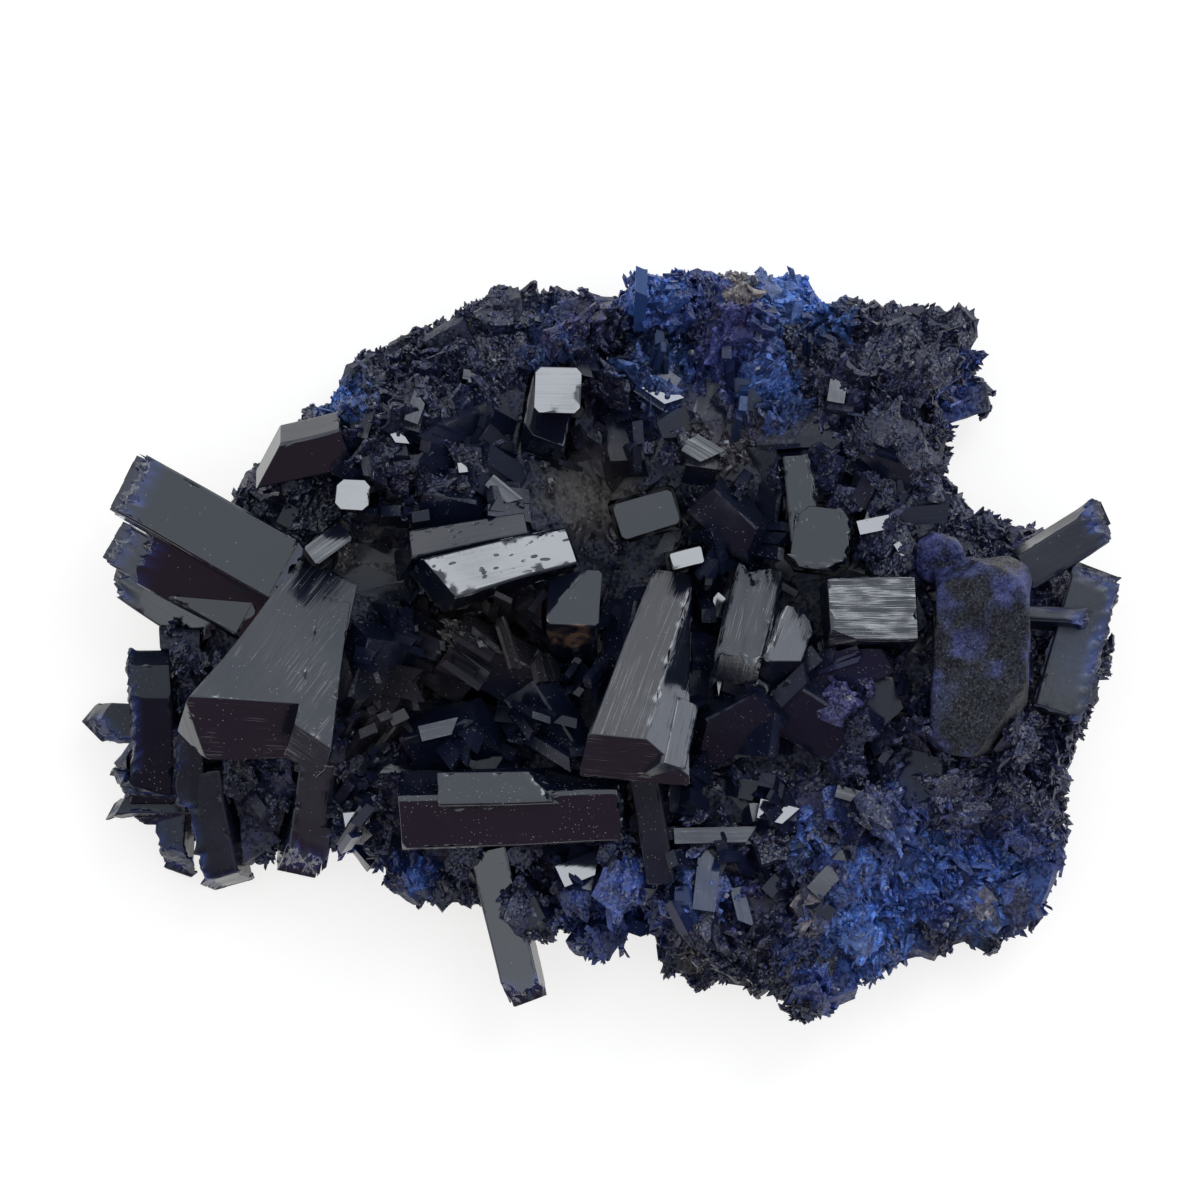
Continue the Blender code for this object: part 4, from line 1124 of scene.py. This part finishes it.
# %% Fans of thin blades
def fans(name, shapes, count, length, width, seed):
    """A piece of thin blades that lie on the plates, each turned a little from its plate's own run."""
    chance = np.random.default_rng(seed)
    plate = chance.integers(len(shapes), size=count)
    starts, ends = root_and_tip(shapes)
    places = shapes[plate, chance.integers(ALONG * ACROSS, size=count)]
    along = unit(unit(ends - starts)[plate] + 0.30 * chance.normal(size=(count, 3)))
    out = upright(along, UP + 0.4 * chance.normal(size=(count, 3)))
    long, wide = chance.uniform(*length, count), chance.uniform(*width, count)
    slant = unit(along + 0.9 * np.cross(along, out) * chance.choice((-1.0, 1.0), (count, 1)))
    points = cut_prisms(places - along * 0.5 * long[:, None], along, out, long, wide, 0.5 * wide, slant)
    points = points[clear(points)]
    colours = stain(points[:, 4:].mean(axis=1)) * chance.uniform(0.6, 1.7, (len(points), 1))
    make_many(name, points, BLADE_FACES, colours, DRUSE)


# %% [markdown]
# ## Small faces that mirror the window
#
# Here and there one broad face in the druse mirrors the window and shines out. Chance would put these
# faces anywhere, so they are listed one by one, each with its place, its size and its direction. They
# lean half-way between straight up and the window. A few degrees off it, a face is only blue-grey.

# %% Small faces that mirror the window
HALF_WAY = (59, 23.5)  # compass and tilt of a face that mirrors the window to the camera
FACET_THICK, FACET_RISE = 1.2, 0.45  # mm, the second being how far a face stands out of the base
# Each face: x, y, length and width in mm, compass of its length, and degrees of tilt off HALF_WAY.
FACETS = (
    (-23.4, 9.7, 2.1, 0.6, -5, 0), (-19.7, 9.8, 1.7, 0.6, 70, 3), (-9.4, 12.3, 1.1, 0.7, 10, 2),
    (-6.9, 10.7, 2.3, 1.0, -40, 8), (-5.3, -5.0, 2.1, 1.0, -60, 0), (-11.4, -5.9, 2.5, 1.1, 15, 8),
    (-15.6, -5.6, 1.7, 1.0, -20, 8), (-17.1, -12.3, 1.6, 1.4, 10, 0), (-34.0, -10.1, 2.0, 1.4, -45, 0),
    (-13.0, 3.8, 2.1, 0.7, 55, 1), (-29.7, 0.2, 2.8, 1.0, -10, 8), (-14.2, 14.6, 1.5, 0.8, -60, 4),
    (4.0, 17.6, 2.5, 1.2, -35, 3), (6.8, 13.6, 2.1, 1.6, -30, 8), (18.8, 8.3, 2.2, 1.0, 15, 4),
    (8.2, 2.7, 1.7, 1.0, 80, 0), (-8.3, 18.6, 2.7, 0.7, -8, 8), (-12.9, 16.3, 1.9, 1.0, 70, 8),
    (16.3, 17.6, 1.7, 1.2, 80, 8), (20.7, 6.6, 1.1, 0.5, -60, 0), (5.4, -11.4, 3.0, 1.3, -10, 8),
    (7.7, -13.2, 5.4, 1.1, 3, 8), (12.0, -11.6, 2.3, 1.4, -12, 3), (17.6, -10.5, 2.8, 0.9, -15, 8),
    (16.2, -15.6, 4.6, 1.3, 48, 8), (7.3, -16.4, 4.2, 1.6, 82, 8), (-1.6, -15.6, 2.9, 1.6, 25, 4),
    (9.7, -18.1, 2.6, 1.0, -78, 8), (-2.9, 15.3, 1.3, 0.7, 30, 8), (26.6, 12.1, 1.5, 0.8, 40, 8),
    (-21.0, 12.1, 1.4, 0.6, -30, 8), (2.7, -8.0, 1.6, 0.6, -20, 8), (19.3, -7.0, 1.4, 0.6, 20, 8),
    (-9.2, -8.7, 1.2, 0.5, 10, 8), (-18.9, -3.9, 1.2, 0.6, -50, 8),
)
print(len(FACETS), "small faces")


def window_facets(name, rows):
    """A small prism for each row, whose broad side lies on top, centred on the row's place.

    It stands out of the base by FACET_RISE and a fifth of its width, because it leans.
    """
    x, y, long, wide, turn, off = np.array(rows).T
    tree = BVHTree.FromPolygons(base.points.tolist(), base.triangles.tolist())
    down = [tree.ray_cast(Vector((a, b, 30)), Vector((0, 0, -1)))[0] for a, b in zip(x, y)]
    known = np.array([hit is not None for hit in down])
    z = np.array([hit.z if hit is not None else 0.0 for hit in down])
    face = toward(HALF_WAY[0] + 0 * off, HALF_WAY[1] - off)
    along = upright(face, toward(turn, 90 + 0 * turn))
    thick = np.full(len(x), FACET_THICK)
    top = np.stack([x, y, z + FACET_RISE + 0.2 * wide], axis=1)
    root = top - along * 0.5 * long[:, None] - face * 0.5 * thick[:, None]
    slant = unit(along + 0.7 * np.cross(along, face))
    points = cut_prisms(root, along, face, long, wide, thick, slant)[known]
    points = points[clear(points)]
    make_many(name, points, BLADE_FACES, stain(points[:, 0]), GLASS)


# %% [markdown]
# ## Groups of glassy prisms
#
# In the hollow between the large crystals, small prisms stand side by side in groups, with the same
# glass as the large ones. A group is one growth direction that its members share, each with its own
# length and width, set next to each other like the pipes of an organ.

# %% Groups of glassy prisms
def prism_groups(name, keep, count, members, length, width, flatness, lean, face_up, seed, finish):
    """Groups of prisms side by side: member k lies 0.9 k widths from the middle of its group.

    flatness is a prism's thickness as a share of its width. Each member turns a little from the
    group, is 0.55 to 1 times as long, and goes 0.4 of the group's length into the base.
    """
    chance = np.random.default_rng(seed)
    places, along, out, scale = growth_frames(keep, count, lean, face_up, chance)
    long = chance.uniform(*length, count) * (0.7 + 0.6 * scale)
    wide = chance.uniform(*width, count)
    total = count * members

    def each(values):
        return np.repeat(values, members, axis=0)

    rank = np.tile(np.arange(members) - (members - 1) / 2, count)
    across = each(np.cross(along, out))
    member_along = unit(each(along) + 0.04 * chance.normal(size=(total, 3)))
    member_out = upright(member_along, each(out) + 0.08 * chance.normal(size=(total, 3)))
    lift = flatness * each(wide) * chance.normal(0, 0.4, total)
    reach = each(long) * chance.uniform(0.55, 1.0, total)
    sunk = 0.4 * each(long)
    roots = (
        each(places) + across * (0.9 * rank * each(wide))[:, None]
        + each(out) * lift[:, None] - each(along) * sunk[:, None])
    slope = chance.uniform(-1.0, 1.0, (2, total, 1))
    slant = unit(member_along + across * slope[0] + 0.8 * member_out * slope[1])
    member_wide = each(wide) * chance.uniform(0.7, 1.5, total)
    thick = flatness * each(wide) * chance.uniform(0.7, 1.5, total)
    points = cut_prisms(roots, member_along, member_out, reach + sunk, member_wide, thick, slant)
    points = points[clear(points)]
    colours = stain(points[:, 4:].mean(axis=1)) * chance.uniform(0.7, 1.3, (len(points), 1))
    make_many(name, points, BLADE_FACES, colours, finish)


# %% [markdown]
# ## The growths on the base
#
# A mask says for each triangle of the base how likely a growth is to start there. Fine plates cover
# the steep rim, large ones the outer part, small ones fill the gaps, and the glassy prisms keep to
# the hollow in the middle. Painted weights would do as well, but sums of height, slope and distance
# from the middle are the same on every run.

# %% Where things grow
facing = base.normal[base.owner]
above = base_centre[:, 2] > 1.0
upper = above * (facing[:, 2] > 0.0)
rough_part = ~(facet[base.owner]) | (facing[:, 2] < 0.3)
hollow = np.clip(1.25 - far_out * 1.15, 0.02, 1)  # 1 in the middle, falling outwards
outer = np.clip(far_out * 2.2 - 1.1, 0.0, 1)  # 0 in the middle, 1 near the rim
steep_rim = above * (far_out > 0.72) * (facing[:, 2] < 0.75)
print(int(np.sum(steep_rim)), "triangles of steep rim")

# %% The growths
grown = np.concatenate([
    plates("rim_plates", steep_rim, 1000, length=(0.5, 1.1), width=(0.6, 1.5), thick=(0.25, 0.5),
           lean=(0.7, 0.0, 0.8, 0.4, 0.3), face_up=0.8, seed=2, torn=0.2),
    plates("outer_plates", upper * outer, 1050, length=(1.2, 2.9), width=(1.3, 3.0), thick=(0.6, 1.1),
           lean=(0.25, 0.20, 0.50, 0.8, 0.20), face_up=0.85, seed=3, torn=0.12),
    plates("small_plates", upper * rough_part * np.clip(outer + 0.25, 0, 1), 900,
           length=(0.6, 1.4), width=(0.5, 1.3), thick=(0.25, 0.5),
           lean=(0.5, 0.3, 0.3, 0.9, 0.4), face_up=0.6, seed=4, torn=0.2),
])
crumbs("plate_crumbs", grown, 14000, size=(0.12, 0.34), seed=8)
fans("fan_blades", grown, 13000, length=(0.6, 1.5), width=(0.14, 0.40), seed=9)
prism_groups(
    "hollow_crystals", upper * hollow, 260, members=3, length=(1.5, 3.6), width=(0.4, 1.2), flatness=0.6,
    lean=(0.4, 0.3, 0.0, 1.1, 0.1), face_up=0.0, seed=5, finish=DUSK_GLASS)
window_facets("window_facets", FACETS)
